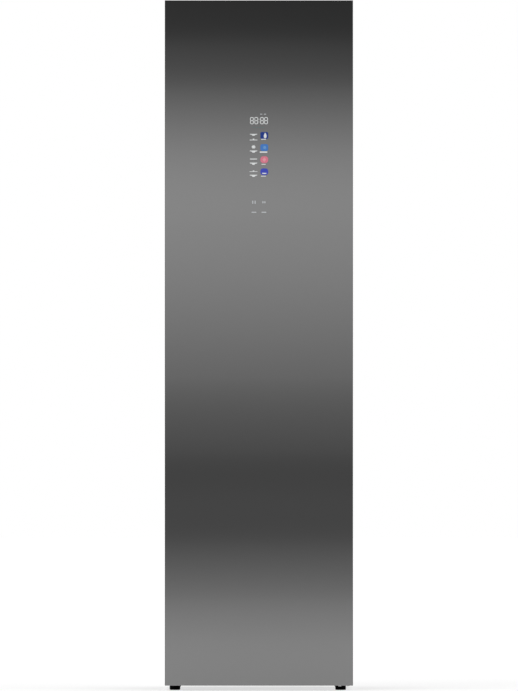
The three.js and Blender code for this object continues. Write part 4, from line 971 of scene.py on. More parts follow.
@dataclass
class Casing(Assembly):
    """The steel casing, its rear panel with louvres, the front frame and the hinges."""

    fold: float = 0.45 * MM
    moulded: float = 0.8 * MM
    cap: float = 1.4 * MM
    bead_width: float = 14 * MM
    bead_height: float = 1.6 * MM
    bead_round: float = 0.98
    bead_span: Span = (330 * MM, 1700 * MM)
    bead_places: Point = (-165 * MM, 0.0, 165 * MM)
    slot_length: float = 90 * MM
    slot_columns: Span = (-55 * MM, 55 * MM)
    slot_rows: int = 7
    slot_start: float = 87 * MM
    slot_pitch: float = 18 * MM
    hood: float = 4.5 * MM
    hood_rise: float = 6 * MM
    hood_lip: float = 0.05
    screw: Screw = Screw()
    panel_screw: Screw = Screw(3.2 * MM, 1.6 * MM)
    edge_inset: float = 9 * MM
    screw_heights: tuple[float, ...] = (34 * MM, 380 * MM, 740 * MM, 1100 * MM, 1460 * MM, 1808 * MM)
    washer: Span = (6 * MM, 0.8 * MM)
    bolt: Span = (4.6 * MM, 3.6 * MM)
    bolt_edge: float = 0.4 * MM
    bolt_inset: float = 10 * MM

    def build(self) -> None:
        """Makes the casing's pieces."""
        for node in ("left_side_panel", "right_side_panel", "top_cover"):
            soften(node, CASE_STEEL, self.fold)
        soften("rear_panel", ZINC, self.fold, square=True)
        for node in ("base_tray", "top_hinge", "bottom_hinge"):
            soften(node, ZINC, self.fold)
        soften("front_frame", DARK_PLASTIC, self.moulded, square=True)
        soften("lower_front_panel", DARK_PLASTIC, self.moulded)
        soften("hinge_cover", BLACK_PLASTIC, self.cap, 3)
        soften("cable_gland", RUBBER, self.moulded)
        self.beads()
        self.hoods()
        self.rear_screws()
        self.panel_screws()
        self.hinge_bolts()

    def beads(self) -> None:
        """Presses the long stiffening beads into the rear panel."""
        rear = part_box("rear_panel")[1].y
        half = self.bead_width / 2
        (bottom, top), crest = self.bead_span, rear + self.bead_height
        bead = Form.block("rear_panel_beads", (-half, rear - self.fold, bottom), (half, crest, top))
        bead.rounded(self.bead_height * self.bead_round, 4)
        bead.across(self.bead_places).dress(ZINC, CABINET)

    def hoods(self) -> None:
        """Makes the louvre hoods over the rear vents, open at their lower side."""
        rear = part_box("rear_panel")[1].y
        half = self.slot_length / 2 + self.fold
        start = self.slot_start - self.hood_rise / 2
        outer = (half, rear + self.hood, start + 2 * self.hood_rise)
        hood = Form.block("vent_hoods", (-half, rear - self.fold, start), outer)
        hood.pick(Side.TOP.has)
        hood.do(bpy.ops.transform.resize, value=(1, self.hood_lip, 1), center_override=(0, rear, 0))
        hood.pick(Side.BOTTOM.has).inset(self.fold * 2)
        upwards = {"value": (0, 0, self.hood_rise)}
        hood.do(bpy.ops.mesh.extrude_region_move, TRANSFORM_OT_translate=upwards)
        hood.rounded(self.fold, 2).row(self.slot_rows, (0, 0, self.slot_pitch))
        hood.across(self.slot_columns).dress(ZINC, CABINET)

    def rear_screws(self) -> None:
        """Makes the screws round the edge of the rear panel."""
        low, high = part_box("rear_panel")
        sides = (low.x + self.edge_inset, high.x - self.edge_inset)
        places = [(x, high.y, z) for x in sides for z in self.screw_heights]
        head = self.screw.head("rear_panel_screws").laid(Facing.BACK)
        head.at(places).dress(SCREW_ZINC, CABINET)

    def panel_screws(self) -> None:
        """Makes the screws in the corners of the lower front panel."""
        low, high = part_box("lower_front_panel")
        places = [(x, low.y, z) for x in (low.x + self.edge_inset, high.x - self.edge_inset)
                  for z in (low.z + self.edge_inset, high.z - self.edge_inset)]
        head = self.panel_screw.head("lower_panel_screws").laid(Facing.FRONT)
        head.at(places).dress(BLACK_PLASTIC, CABINET)

    def hinge_bolts(self) -> None:
        """Makes the hexagonal bolts, each with its washer, that hold the lower hinge."""
        low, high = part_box("bottom_hinge")
        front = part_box("front_frame")[0].y
        (wide, thick), (head, tall) = self.washer, self.bolt
        bolt = Form.turned("hinge_bolts", [(wide, 0), (wide, thick), (head, thick), (head, tall)], 6)
        bolt.rounded(self.bolt_edge, 2).laid(Facing.DOWN)
        middle = (front + high.y) / 2
        places = [(x, middle, low.z) for x in (low.x + self.bolt_inset, high.x - self.bolt_inset)]
        bolt.at(places).dress(SCREW_ZINC, CABINET)


@dataclass
class Foot(Assembly):
    """A levelling foot: a notched puck on a threaded stem."""

    node: str
    radius: float = 14.25 * MM
    height: float = 14.2 * MM
    top_round: float = 4.6 * MM
    bottom_round: float = 3 * MM
    stem: float = 4 * MM
    root: float = 0.9
    point: float = 0.75
    pitch: float = 1.5 * MM
    flanks: tuple[float, ...] = (0.0, 0.35, 0.55, 0.9)
    notches: int = 12
    notch: float = 1.1 * MM
    notch_start: float = 4 * MM
    notch_out: float = 0.35

    def build(self) -> None:
        """Makes the puck and the stem."""
        low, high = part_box(self.node)
        middle = (*middle_of(self.node), low.z)
        puck = Form.turned(f"{self.node}_puck", self.profile(), 64)
        deep, turn = self.radius + self.notch * self.notch_out, math.pi / self.notches
        tooth = Form.turned("notch", [(self.notch, self.notch_start), (self.notch, self.height)], 10)
        tooth.laid(Facing.UP, (deep * math.cos(turn), deep * math.sin(turn), 0)).around(self.notches)
        puck.cut_by(tooth).laid(Facing.UP, middle)
        stem = Form.turned(f"{self.node}_stem", self.thread(high.z - low.z), 24).laid(Facing.UP, middle)
        puck.dress(FOOT_PLASTIC, self.node, self.node)
        stem.dress(SCREW_ZINC, self.node)

    def profile(self) -> list[Span]:
        """The puck's radius and height at each step.

        Returns:
            The steps, from the underside to the upper face.
        """
        turns = spaced(0, math.pi / 2, 6)
        lower = lower_edge(self.radius, self.bottom_round, turns)
        return [*lower, *upper_edge(self.radius, self.height, self.top_round, turns)]

    def thread(self, top: float) -> list[Span]:
        """The stem's crests and roots.

        Args:
            top: The height of the stem's end.

        Returns:
            The radius and height of each step.
        """
        root = self.stem * self.root
        radii = (root, self.stem, self.stem, root)
        steps = [(root, self.height - self.pitch)]
        for index in range(int((top - self.height) / self.pitch)):
            start = self.height + index * self.pitch
            steps += [(radius, start + self.pitch * share) for radius, share in zip(radii, self.flanks)]
        return [*steps, (self.stem * self.point, top)]


@dataclass
class Door(Assembly):
    """The glass door: its pane, channel frame, inner liner, seal, grip cup and hinge bushes."""

    arris: float = 0.5 * MM
    moulded: float = 0.8 * MM
    border: float = 24 * MM
    step: float = 3 * MM
    recess: float = 1.5 * MM
    bead_width: float = 10 * MM
    bead_rise: float = 1.2 * MM
    beads: int = 7
    lip: float = 3.2 * MM
    groove: float = 1.6 * MM
    groove_plane: float = -237.5 * MM
    led: float = 3 * MM
    led_rise: float = 0.9 * MM
    led_rows: int = 4
    led_columns: int = 5
    led_share: float = 2 / 3

    def build(self) -> None:
        """Makes the door's pieces."""
        soften("door_glass", GLASS, self.arris)
        soften("door_frame", DARK_PLASTIC, self.moulded, square=True)
        soften("grip_cup", BLACK_PLASTIC, self.moulded, 3)
        soften("light_guide", WHITE_PLASTIC, self.moulded / 2, square=True)
        soften("display_board", LAMINATE, self.moulded / 4)
        for end in ("top", "bottom"):
            soften(f"{end}_hinge_bush", BLACK_PLASTIC, self.moulded)
        self.liner()
        self.liner_beads()
        self.seal()
        self.leds()

    def liner(self) -> None:
        """Makes the inner liner, whose bulge has a sunken panel."""
        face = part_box("door_liner")[1].y
        liner = Form.from_cad("door_liner", "door_liner_body")
        liner.pick(lambda middle, normal: Side.BACK.has(middle, normal) and middle.y > face - MM)
        liner.inset(self.border).inset(self.step, -self.recess)
        liner.rounded(self.moulded, 3, 20).dress(LINER, DOOR, "door_liner")

    def liner_beads(self) -> None:
        """Makes the upright beads on the liner's sunken panel."""
        low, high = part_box("door_gasket")
        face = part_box("door_liner")[1].y - self.recess
        edge = self.border * 6
        half = self.bead_width / 2
        bead = Form.block("door_liner_beads", (-half, face - self.bead_rise, low.z + edge),
                          (half, face + self.bead_rise, high.z - edge))
        bead.rounded(self.bead_rise, 4)
        reach = high.x - edge
        bead.across(spaced(-reach, reach, self.beads)).dress(LINER, DOOR)

    def seal(self) -> None:
        """Makes the magnetic seal, with a groove between its two lips."""
        seal = Form.from_cad("door_gasket", "door_gasket_body")
        seal.pick(Side.BACK.has).inset(self.lip, -self.groove)
        seal.pick(lambda middle, normal: abs(normal.y) < 1 - POINTING and middle.y < self.groove_plane)
        seal.inset(self.groove / 2, -self.groove / 2)
        seal.rounded(self.groove / 4, 2).dress(RUBBER, DOOR, "door_gasket")

    def leds(self) -> None:
        """Makes the rows of small lights on the display board."""
        low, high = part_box("light_guide")
        half, front, rise = self.led / 2, high.y, self.led_rise
        led = Form.block("display_leds", (-half, front - rise, -half), (half, front + rise / 3, half))
        led.pick(Side.FRONT.has).inset(half / 3, -rise / 4)
        led.rounded(rise / 6, 2)
        cell = (high.z - low.z) / self.led_rows
        columns = spaced(low.x * self.led_share, high.x * self.led_share, self.led_columns)
        places = [(x, 0, low.z + cell * (row + 0.5)) for row in range(self.led_rows) for x in columns]
        led.at(places).dress(LENS, DOOR)


def drop_outline() -> tuple[Span, ...]:
    """A drop with its point up, one high and about as wide."""
    turns = [math.radians(angle) for angle in range(0, 360, 20)]
    return tuple((math.sin(turn) * math.sin(turn / 2) * 0.62, math.cos(turn) / 2) for turn in turns)


def burst_outline() -> tuple[Span, ...]:
    """A star of eight points, one across."""
    steps = [(math.radians(22.5 * index), (0.28, 0.5)[index % 2]) for index in range(16)]
    return tuple((reach * math.cos(turn), reach * math.sin(turn)) for turn, reach in steps)


class Motif(Enum):
    """Plain figures of the display, as shares of their width and height."""

    FUNNEL = (
        (-0.5, 0.14), (-0.26, 0.0), (-0.14, -0.5), (0.14, -0.5), (0.26, 0.0), (0.5, 0.14), (0.5, 0.5),
        (-0.5, 0.5),
    )
    STEP = (
        (-0.5, -0.5), (0.5, -0.5), (0.5, -0.1), (0.1, -0.1), (0.1, 0.5), (-0.1, 0.5), (-0.1, -0.1),
        (-0.5, -0.1),
    )
    DROP = drop_outline()
    BURST = burst_outline()
    DIAMOND = ((0, -0.5), (0.5, 0), (0, 0.5), (-0.5, 0))
    BAR = ((-0.5, -0.5), (0.5, -0.5), (0.5, 0.5), (-0.5, 0.5))


@dataclass(frozen=True)
class Mark:
    """One lit mark of the display.

    Attributes:
        motif: Its figure.
        size: Its width and height.
        place: The middle of it, across and up.
    """

    motif: Motif
    size: Span
    place: Span = (0.0, 0.0)

    def moved(self, across: float, up: float) -> "Mark":
        """The same mark, further along and further up."""
        return replace(self, place=(self.place[0] + across, self.place[1] + up))


@dataclass(frozen=True)
class MarkRow:
    """Marks of one kind at one height.

    Attributes:
        mark: The mark that it repeats.
        height: How high their middles lie.
        places: Where their middles lie across.
    """

    mark: Mark
    height: float
    places: tuple[float, ...]

    def marks(self) -> list[Mark]:
        """The marks of the row."""
        return [self.mark.moved(place, self.height) for place in self.places]


@dataclass(frozen=True)
class TileRow:
    """One row of the display: a coloured tile, two figures at its left and a bar under it.

    Attributes:
        name: The name of the tile's piece.
        finish: The tile's surface.
        corner: The radius of the tile's corners.
        figure: The figure on the tile, placed about the tile's middle.
        upper: The upper figure at the left.
        lower: The lower one.
        bar: The width and height of the bar under the tile.
        gap: The space between the tile and that bar.
    """

    name: str
    finish: Finish
    corner: float
    figure: Mark
    upper: Mark
    lower: Mark
    bar: Span
    gap: float


LOW_FUNNEL = Mark(Motif.FUNNEL, (19.5 * MM, 5.8 * MM))
TILE_ROWS = (
    TileRow(
        "display_tile_1", TILE_NAVY, 3.4 * MM, Mark(Motif.DROP, (8 * MM, 15 * MM), (2.4 * MM, 0.0)),
        Mark(Motif.FUNNEL, (19.5 * MM, 5 * MM)), Mark(Motif.STEP, (20.5 * MM, 4.6 * MM)),
        (13 * MM, 2.2 * MM), 0.2 * MM,
    ),
    TileRow(
        "display_tile_2", TILE_BLUE, 5 * MM, Mark(Motif.BURST, (12 * MM, 12 * MM), (1 * MM, 0.0)),
        Mark(Motif.BURST, (13 * MM, 12 * MM)), LOW_FUNNEL, (20 * MM, 3.6 * MM), 1.4 * MM,
    ),
    TileRow(
        "display_tile_3", TILE_ROSE, 7.6 * MM, Mark(Motif.DIAMOND, (10 * MM, 12 * MM)),
        Mark(Motif.BAR, (19 * MM, 2.6 * MM)), LOW_FUNNEL, (11 * MM, 2 * MM), 2.4 * MM,
    ),
    TileRow(
        "display_tile_4", TILE_INDIGO, 7.2 * MM, Mark(Motif.BAR, (11 * MM, 3 * MM), (0.0, -4.4 * MM)),
        Mark(Motif.STEP, (21 * MM, 3.8 * MM)), LOW_FUNNEL, (13 * MM, 2 * MM), 1.8 * MM,
    ),
)


@dataclass
class Display(Assembly):
    """The lit marks that show through the glass: plain figures, coloured tiles and a clock."""

    lift: float = 0.3 * MM
    sheet: float = 0.2 * MM
    stroke: float = 1.7 * MM
    digit: Span = (9.5 * MM, 18.4 * MM)
    digit_places: tuple[float, ...] = (-18.7 * MM, -7.0 * MM, 8.2 * MM, 19.0 * MM)
    digit_height: float = 1514.2 * MM
    colon_place: float = 0.4 * MM
    colon_rise: float = 3.6 * MM
    rows: tuple[TileRow, ...] = TILE_ROWS
    row_top: float = 1484 * MM
    row_pitch: float = 32.2 * MM
    tile: Span = (20.6 * MM, 18 * MM)
    tile_middle: float = 14.3 * MM
    left_middle: float = -14.3 * MM
    upper_drop: float = 7.4 * MM
    lower_drop: float = 19.8 * MM
    bar_shift: float = -2 * MM
    faint: tuple[MarkRow, ...] = (
        MarkRow(Mark(Motif.BAR, (5.4 * MM, 2 * MM)), 1531.5 * MM, (6 * MM, 16.4 * MM)),
        MarkRow(Mark(Motif.BAR, (2.8 * MM, 8.2 * MM)), 1297.5 * MM, (-16.4 * MM, -10 * MM)),
        MarkRow(Mark(Motif.DIAMOND, (4 * MM, 8 * MM)), 1297.5 * MM, (10.7 * MM, 15.9 * MM)),
        MarkRow(Mark(Motif.BAR, (12.4 * MM, 2.6 * MM)), 1270.8 * MM, (-13.2 * MM, 13.3 * MM)),
    )
    dashes: MarkRow = MarkRow(
        Mark(Motif.BAR, (5 * MM, 1.6 * MM)), 1496 * MM, tuple(spaced(-14 * MM, 11 * MM, 4))
    )

    def build(self) -> None:
        """Makes the four tiles, the clock, the figures and the controls."""
        for index in range(len(self.rows)):
            self.tile_piece(index)
        self.clock()
        self.lit("display_figures", self.figures(), LIT_WHITE)
        self.lit("display_controls", [mark for row in self.faint for mark in row.marks()], LIT_GREY)
        self.lit("display_timer_dashes", self.dashes.marks(), LIT_TEAL)
        self.tile_figures()

    def top(self, index: int) -> float:
        """The height of the upper edge of a row's tile."""
        return self.row_top - index * self.row_pitch

    def plate(self, name: str, points: Sequence[Span], place: Span, front: float = 0.0) -> Form:
        """A thin lit plate that lies before the glass.

        Args:
            name: Its name.
            points: Its outline.
            place: The middle of it, across and up.
            front: How much further out it lies.

        Returns:
            The plate.
        """
        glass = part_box("door_glass")[0].y
        where = (place[0], glass - self.lift - front, place[1])
        return Form.outline(name, points, self.sheet, facing=Facing.FRONT, place=where)

    def segment(self, middle: Span, length: float, upright: bool) -> Form:
        """One bar of a digit, pointed at both ends.

        Args:
            middle: The middle of it, across and up.
            length: How long it is.
            upright: Whether it stands.

        Returns:
            The bar.
        """
        tip, half = self.stroke / 2, length / 2 - self.stroke / 8
        points = [(-half, 0), (tip - half, tip), (half - tip, tip), (half, 0), (half - tip, -tip),
                  (tip - half, -tip)]
        if upright:
            points = [(up, across) for across, up in reversed(points)]
        return self.plate("bar", points, middle)

    def digit_bars(self, place: float) -> list[Form]:
        """The seven bars of one digit, all lit.

        Args:
            place: The middle of the digit across.

        Returns:
            The bars.
        """
        width, height = self.digit[0] - self.stroke, self.digit[1] - self.stroke
        middle = self.digit_height
        levels = (middle - height / 2, middle, middle + height / 2)
        lying = [self.segment((place, level), width, False) for level in levels]
        standing = [self.segment((place + side, middle + rise), height / 2, True)
                    for side in (-width / 2, width / 2) for rise in (-height / 4, height / 4)]
        return [*lying, *standing]

    def clock(self) -> None:
        """Makes four digits with all their bars lit, and a colon."""
        bars = [bar for place in self.digit_places for bar in self.digit_bars(place)]
        dot = rounded_box(self.stroke, self.stroke, self.stroke / 3)
        dots = [self.plate("dot", dot, (self.colon_place, self.digit_height + rise))
                for rise in (-self.colon_rise, self.colon_rise)]
        Form.union("display_clock", [*bars, *dots]).dress(LIT_CLOCK, DOOR)

    def figures(self) -> list[Mark]:
        """The white figures at the left of each tile, and the bars under the tiles.

        Returns:
            The marks.
        """
        marks = []
        for index, row in enumerate(self.rows):
            top = self.top(index)
            width, height = row.bar
            below = top - self.tile[1] - row.gap - height / 2
            marks += [
                row.upper.moved(self.left_middle, top - self.upper_drop),
                row.lower.moved(self.left_middle, top - self.lower_drop),
                Mark(Motif.BAR, (width, height), (self.tile_middle + self.bar_shift, below)),
            ]
        return marks

    def tile_figures(self) -> None:
        """Makes the plain figures on the tiles, white on two of them and tinted on the others."""
        drop, burst, diamond, bar = [
            row.figure.moved(self.tile_middle, self.top(index) - self.tile[1] / 2)
            for index, row in enumerate(self.rows)
        ]
        near = 2 * self.sheet
        self.lit("display_tile_whites", [drop, bar], LIT_WHITE, near)
        self.lit("display_tile_burst", [burst], LIT_SKY, near)
        self.lit("display_tile_diamond", [diamond], LIT_PINK, near)

    def lit(self, name: str, marks: Sequence[Mark], finish: Finish, front: float = 0.0) -> None:
        """Joins marks into one lit piece.

        Args:
            name: The piece's name.
            marks: Its marks.
            finish: Its surface.
            front: How much further out it lies than the other marks.
        """
        plates = []
        for mark in marks:
            points = [(mark.size[0] * across, mark.size[1] * up) for across, up in mark.motif.value]
            plates.append(self.plate(name, points, mark.place, front))
        Form.union(name, plates).dress(finish, DOOR)

    def tile_piece(self, index: int) -> None:
        """Makes the coloured tile of one row.

        Args:
            index: The row, from the top.
        """
        row = self.rows[index]
        place = (self.tile_middle, self.top(index) - self.tile[1] / 2)
        self.plate(row.name, rounded_box(*self.tile, row.corner), place).dress(row.finish, DOOR)


@dataclass
class Nozzle(Assembly):
    """The steam nozzle: a domed cap with a ring of holes, over a flange and a stem."""

    stem: float = 8 * MM
    chamfer: float = 1 * MM
    floor_level: float = 430 * MM
    gap: float = 0.3 * MM
    flange: float = 16 * MM
    flange_side: float = 1.8 * MM
    flange_thick: float = 3 * MM
    flange_slope: float = 1.2 * MM
    cap: float = 11 * MM
    cap_round: float = 2 * MM
    dome: float = 3 * MM
    dome_turns: Point = (0.5, 1.0, 1.5)
    crown: float = 0.6 * MM
    hole: float = 1.3 * MM
    hole_ring: float = 0.62
    hole_rise: float = 5 * MM
    holes: int = 8

    def build(self) -> None:
        """Makes the nozzle."""
        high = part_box("steam_nozzle")[1]
        nozzle = Form.turned("steam_nozzle_body", self.profile(), 48)
        bottom = high.z - 2 * self.dome
        hole = Form.turned("hole", [(self.hole, bottom), (self.hole, high.z + self.hole_rise)], 12)
        hole.laid(Facing.UP, (self.cap * self.hole_ring, 0, 0)).around(self.holes)
        nozzle.cut_by(hole).laid(Facing.UP, (*middle_of("steam_nozzle"), 0))
        nozzle.dress(DARK_PLASTIC, CABINET, "steam_nozzle")

    def profile(self) -> list[Span]:
        """The nozzle's radius and height at each step.

        Returns:
            The steps, from the lower end of the stem to the top of the dome.
        """
        low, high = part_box("steam_nozzle")
        rim = high.z - self.dome
        seat = self.floor_level + self.gap
        return [
            (self.stem - self.chamfer, low.z), (self.stem, low.z + self.chamfer), (self.stem, seat),
            (self.flange, seat), (self.flange, seat + self.flange_side),
            (self.flange - self.flange_slope, seat + self.flange_thick),
            (self.cap, seat + self.flange_thick),
            (self.cap, rim - self.cap_round), *upper_edge(self.cap, rim, self.cap_round, self.dome_turns),
            (self.cap * 0.55, high.z - self.crown), (self.cap * 0.2, high.z),
        ]


@dataclass
class Cabin(Assembly):
    """The cabin: liner, floor moulding, outlet grille, steam nozzle, lamp and wire shelf."""

    moulded: float = 1.1 * MM
    fine: float = 0.5 * MM
    wall: float = 2.5 * MM
    bead_width: float = 16 * MM
    bead_rise: float = 1.6 * MM
    bead_round: float = 0.95
    bead_count: int = 5
    bead_share: float = 0.8
    bead_span: Span = (800 * MM, 1600 * MM)
    lens_border: float = 2 * MM
    lens_sink: float = 1.2 * MM
    rod: float = 3.5 * MM
    wire: float = 2 * MM
    wires: int = 13
    bend: float = 9 * MM

    def build(self) -> None:
        """Makes the cabin's pieces."""
        soften("cabin_liner", LINER, self.moulded, 3, square=True)
        soften("cabin_floor", LINER, self.fine, 2, square=True)
        soften("air_grille", DARK_PLASTIC, self.fine, square=True)
        self.wall_beads()
        self.lamp()
        Nozzle().build()
        self.shelf()

    def wall_beads(self) -> None:
        """Makes the upright beads that stiffen the rear wall."""
        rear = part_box("cabin_liner")[1].y - self.wall
        half, reach = self.bead_width / 2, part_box("wire_shelf")[1].x * self.bead_share
        bead = Form.block("cabin_wall_beads", (-half, rear - self.bead_rise, self.bead_span[0]),
                          (half, rear + self.fine, self.bead_span[1]))
        bead.rounded(self.bead_rise * self.bead_round, 4)
        bead.across(spaced(-reach, reach, self.bead_count)).dress(LINER, CABINET)

    def lamp(self) -> None:
        """Makes the lamp, whose lens lies sunk in its rim."""
        lamp = Form.from_cad("cabin_lamp", "cabin_lamp_body")
        lamp.pick(Side.BOTTOM.has).inset(self.lens_border).inset(self.fine, -self.lens_sink)
        lamp.rounded(self.fine, 3).dress(LENS, CABINET, "cabin_lamp")

    def shelf(self) -> None:
        """Makes the lift-out shelf: a bent round frame with wires across it."""
        low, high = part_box("wire_shelf")
        level = (low.z + high.z) / 2
        width, depth = high.x - low.x - 2 * self.rod, high.y - low.y - 2 * self.rod
        middle = (low.y + high.y) / 2
        loop = [(x, middle + y, level) for x, y in rounded_box(width, depth, self.bend)]
        frame_rod = Form.tube("wire_shelf_body", loop, self.rod, 5, closed=True)
        ends = [(0, middle - depth / 2, level), (0, middle + depth / 2, level)]
        step = width / (self.wires + 1)
        wire = Form.tube("wire", ends, self.wire, 3)
        wires = wire.across(step * (index + 1) - width / 2 for index in range(self.wires))
        frame_rod.joined(wires).dress(STAINLESS, "wire_shelf", "wire_shelf", smooth=TUBE_SMOOTH)


@dataclass
class HangerRail(Assembly):
    """The hanger bar on its two posts, and the moulded hangers with their wire hooks."""

    radius: float = 9 * MM
    end: float = 3 * MM
    post: Span = (12 * MM, 8 * MM)
    post_places: Span = (-55 * MM, 55 * MM)
    post_edge: float = 1.5 * MM
    thick: float = 14 * MM
    edge: float = 5.5 * MM
    half: float = 189.2 * MM
    neck: float = 64 * MM
    neck_half: float = 9 * MM
    drop: float = 52 * MM
    shoulder: float = 17 * MM
    shoulder_steps: int = 8
    hook_wire: float = 2 * MM
    hook_slack: float = 0.8 * MM
    hook_bend: Span = (-56, 207)
    hook_lead: tuple[Span, ...] = ((0.1, 0.55), (0.25, 0.4), (0.42, 0.25))

    def build(self) -> None:
        """Makes the bar and three hangers."""
        self.bar()
        for side in ("left", "middle", "right"):
            self.hanger(f"{side}_hanger")

    def bar(self) -> None:
        """Makes the round bar with rounded ends, hung from two flat posts."""
        low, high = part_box("hanger_bar")
        level, middle = low.z + self.radius, (low.y + high.y) / 2
        length = high.x - low.x
        start = lower_edge(self.radius, self.end)
        profile = [*start, *((radius, length - height) for radius, height in reversed(start))]
        bar = Form.turned("hanger_bar_rail", profile, 48).laid(Facing.RIGHT, (low.x, middle, level))
        across, deep = self.post[0] / 2, self.post[1] / 2
        post = Form.block("post", (-across, middle - deep, level), (across, middle + deep, high.z))
        posts = post.rounded(self.post_edge, 3).across(self.post_places)
        bar.joined(posts).dress(BAR_STEEL, "hanger_bar", "hanger_bar")

    def outline(self) -> list[Span]:
        """The hanger's body as seen from the side, about the centre of the bar.

        Returns:
            The points of the outline.
        """
        top, tip = -self.neck, -self.neck - self.drop
        run, sag = self.half - self.neck_half, self.shoulder / 3
        upper = [(self.neck_half + run * share, top + (tip - top) * share + 4 * sag * share * (1 - share))
                 for share in spaced(0, 1, self.shoulder_steps + 1)]
        lower_end = (self.half - sag, tip - self.shoulder)
        crotch = (0.0, top - self.shoulder - self.drop / 3)
        right = [*upper, lower_end, ((lower_end[0] + crotch[0]) / 2, (lower_end[1] + crotch[1]) / 2)]
        left = [(-across, up) for across, up in reversed(right)]
        return [*right, crotch, *left]

    def hanger(self, node: str) -> None:
        """Makes one hanger: a moulded body and a bent wire hook.

        Args:
            node: The CAD node that it stands for.
        """
        bar_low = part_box("hanger_bar")[0]
        place = (middle_of(node)[0], middle_of("hanger_bar")[1], bar_low.z + self.radius)
        body = Form.outline(f"{node}_body", self.outline(), self.thick, self.edge, Facing.SIDE, place)
        reach = self.radius + self.hook_slack + self.hook_wire
        stem = [(0, -self.neck - self.shoulder / 2), (0, -self.neck + self.neck / 4),
                *((reach * across, -self.neck * up) for across, up in self.hook_lead)]
        bend = arc((0, 0), reach, *self.hook_bend, 22)
        points = [(0, across, up) for across, up in [*stem, *bend]]
        hook = Form.tube(f"{node}_hook", points, self.hook_wire, 4).laid(Facing.UP, place)
        body.dress(BLACK_PLASTIC, node, node)
        hook.dress(BAR_STEEL, node, smooth=TUBE_SMOOTH)


@dataclass
class Tank(Assembly):
    """A lift-out water tank with its collar, level marks and folding handle."""

    node: str
    moulded: float = 1.6 * MM
    handle_round: float = 2.2 * MM
    mark: Span = (16 * MM, 1.2 * MM)
    mark_rise: float = 0.4 * MM
    marks: int = 6
    mark_span: Span = (240 * MM, 380 * MM)
    short_mark: float = 1.8
    bead: float = 1.1 * MM
    mouth: float = 17.5 * MM
    mouth_back: float = 38 * MM
    mouth_top: float = 410 * MM
    ring_drops: Span = (1.5 * MM, 3.7 * MM)

    def build(self) -> None:
        """Makes the tank, its marks, its sealing rings and its handle."""
        soften(self.node, TANK, self.moulded, 3)
        self.level_marks()
        self.collar_rings()
        soften(f"{self.node}_handle", DARK_PLASTIC, self.handle_round, 3)

    def level_marks(self) -> None:
        """Makes the raised level marks on the front of the tank, every other one longer."""
        low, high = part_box(self.node)
        middle, (width, height) = (low.x + high.x) / 2, self.mark
        bars = []
        for index, level in enumerate(spaced(*self.mark_span, self.marks)):
            half = width if index % 2 else width / self.short_mark
            bars.append(Form.block("bar", (middle - half, low.y - self.mark_rise, level - height / 2),
                                   (middle + half, low.y + self.mark_rise, level + height / 2)))
        marks = Form.union(f"{self.node}_marks", bars)
        marks.rounded(self.mark_rise * 0.6, 2).dress(WHITE_PLASTIC, self.node)

    def collar_rings(self) -> None:
        """Makes the two sealing rings on the tank's mouth."""
        middle, back = middle_of(self.node)[0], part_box(self.node)[1].y - self.mouth_back
        circle = arc((middle, back), self.mouth, 0, 350, 35)
        rings = [Form.tube("ring", [(x, y, self.mouth_top - drop) for x, y in circle], self.bead / 2, 3,
                           closed=True) for drop in self.ring_drops]
        Form.union(f"{self.node}_seal", rings).dress(SILICONE, self.node, smooth=TUBE_SMOOTH)


@dataclass
class Filter(Assembly):
    """The lint filter: a slotted lid with a pull tab, a cage and a fine mesh in its rear window."""

    moulded: float = 0.5 * MM
    thread: float = 0.35 * MM
    pitch: float = 2.2 * MM
    sink: float = 1 * MM
    window: tuple[Span, Span] = ((-31 * MM, 31 * MM), (300 * MM, 400 * MM))

    def build(self) -> None:
        """Makes the cage and its mesh."""
        soften("lint_filter", DARK_PLASTIC, self.moulded, square=True)
        self.mesh()

    def mesh(self) -> None:
        """Makes the mesh: crossed rows of thin threads."""
        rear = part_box("lint_filter")[1].y - self.sink
        (left, right), (bottom, top) = self.window
        thick, half = self.thread, self.thread / 2
        near, far, start = rear - half, rear + half, bottom + self.pitch / 2
        upright = Form.block("lint_filter_mesh", (left, near, bottom), (left + thick, far, top))
        upright.rounded(half / 2, 1).row(int((right - left) / self.pitch), (self.pitch, 0, 0))
        level = Form.block("thread", (left - half, near, start), (right + half, far, start + thick))
        level.rounded(half / 2, 1).row(int((top - bottom) / self.pitch), (0, 0, self.pitch))
        upright.joined(level).dress(SCREW_ZINC, "lint_filter")


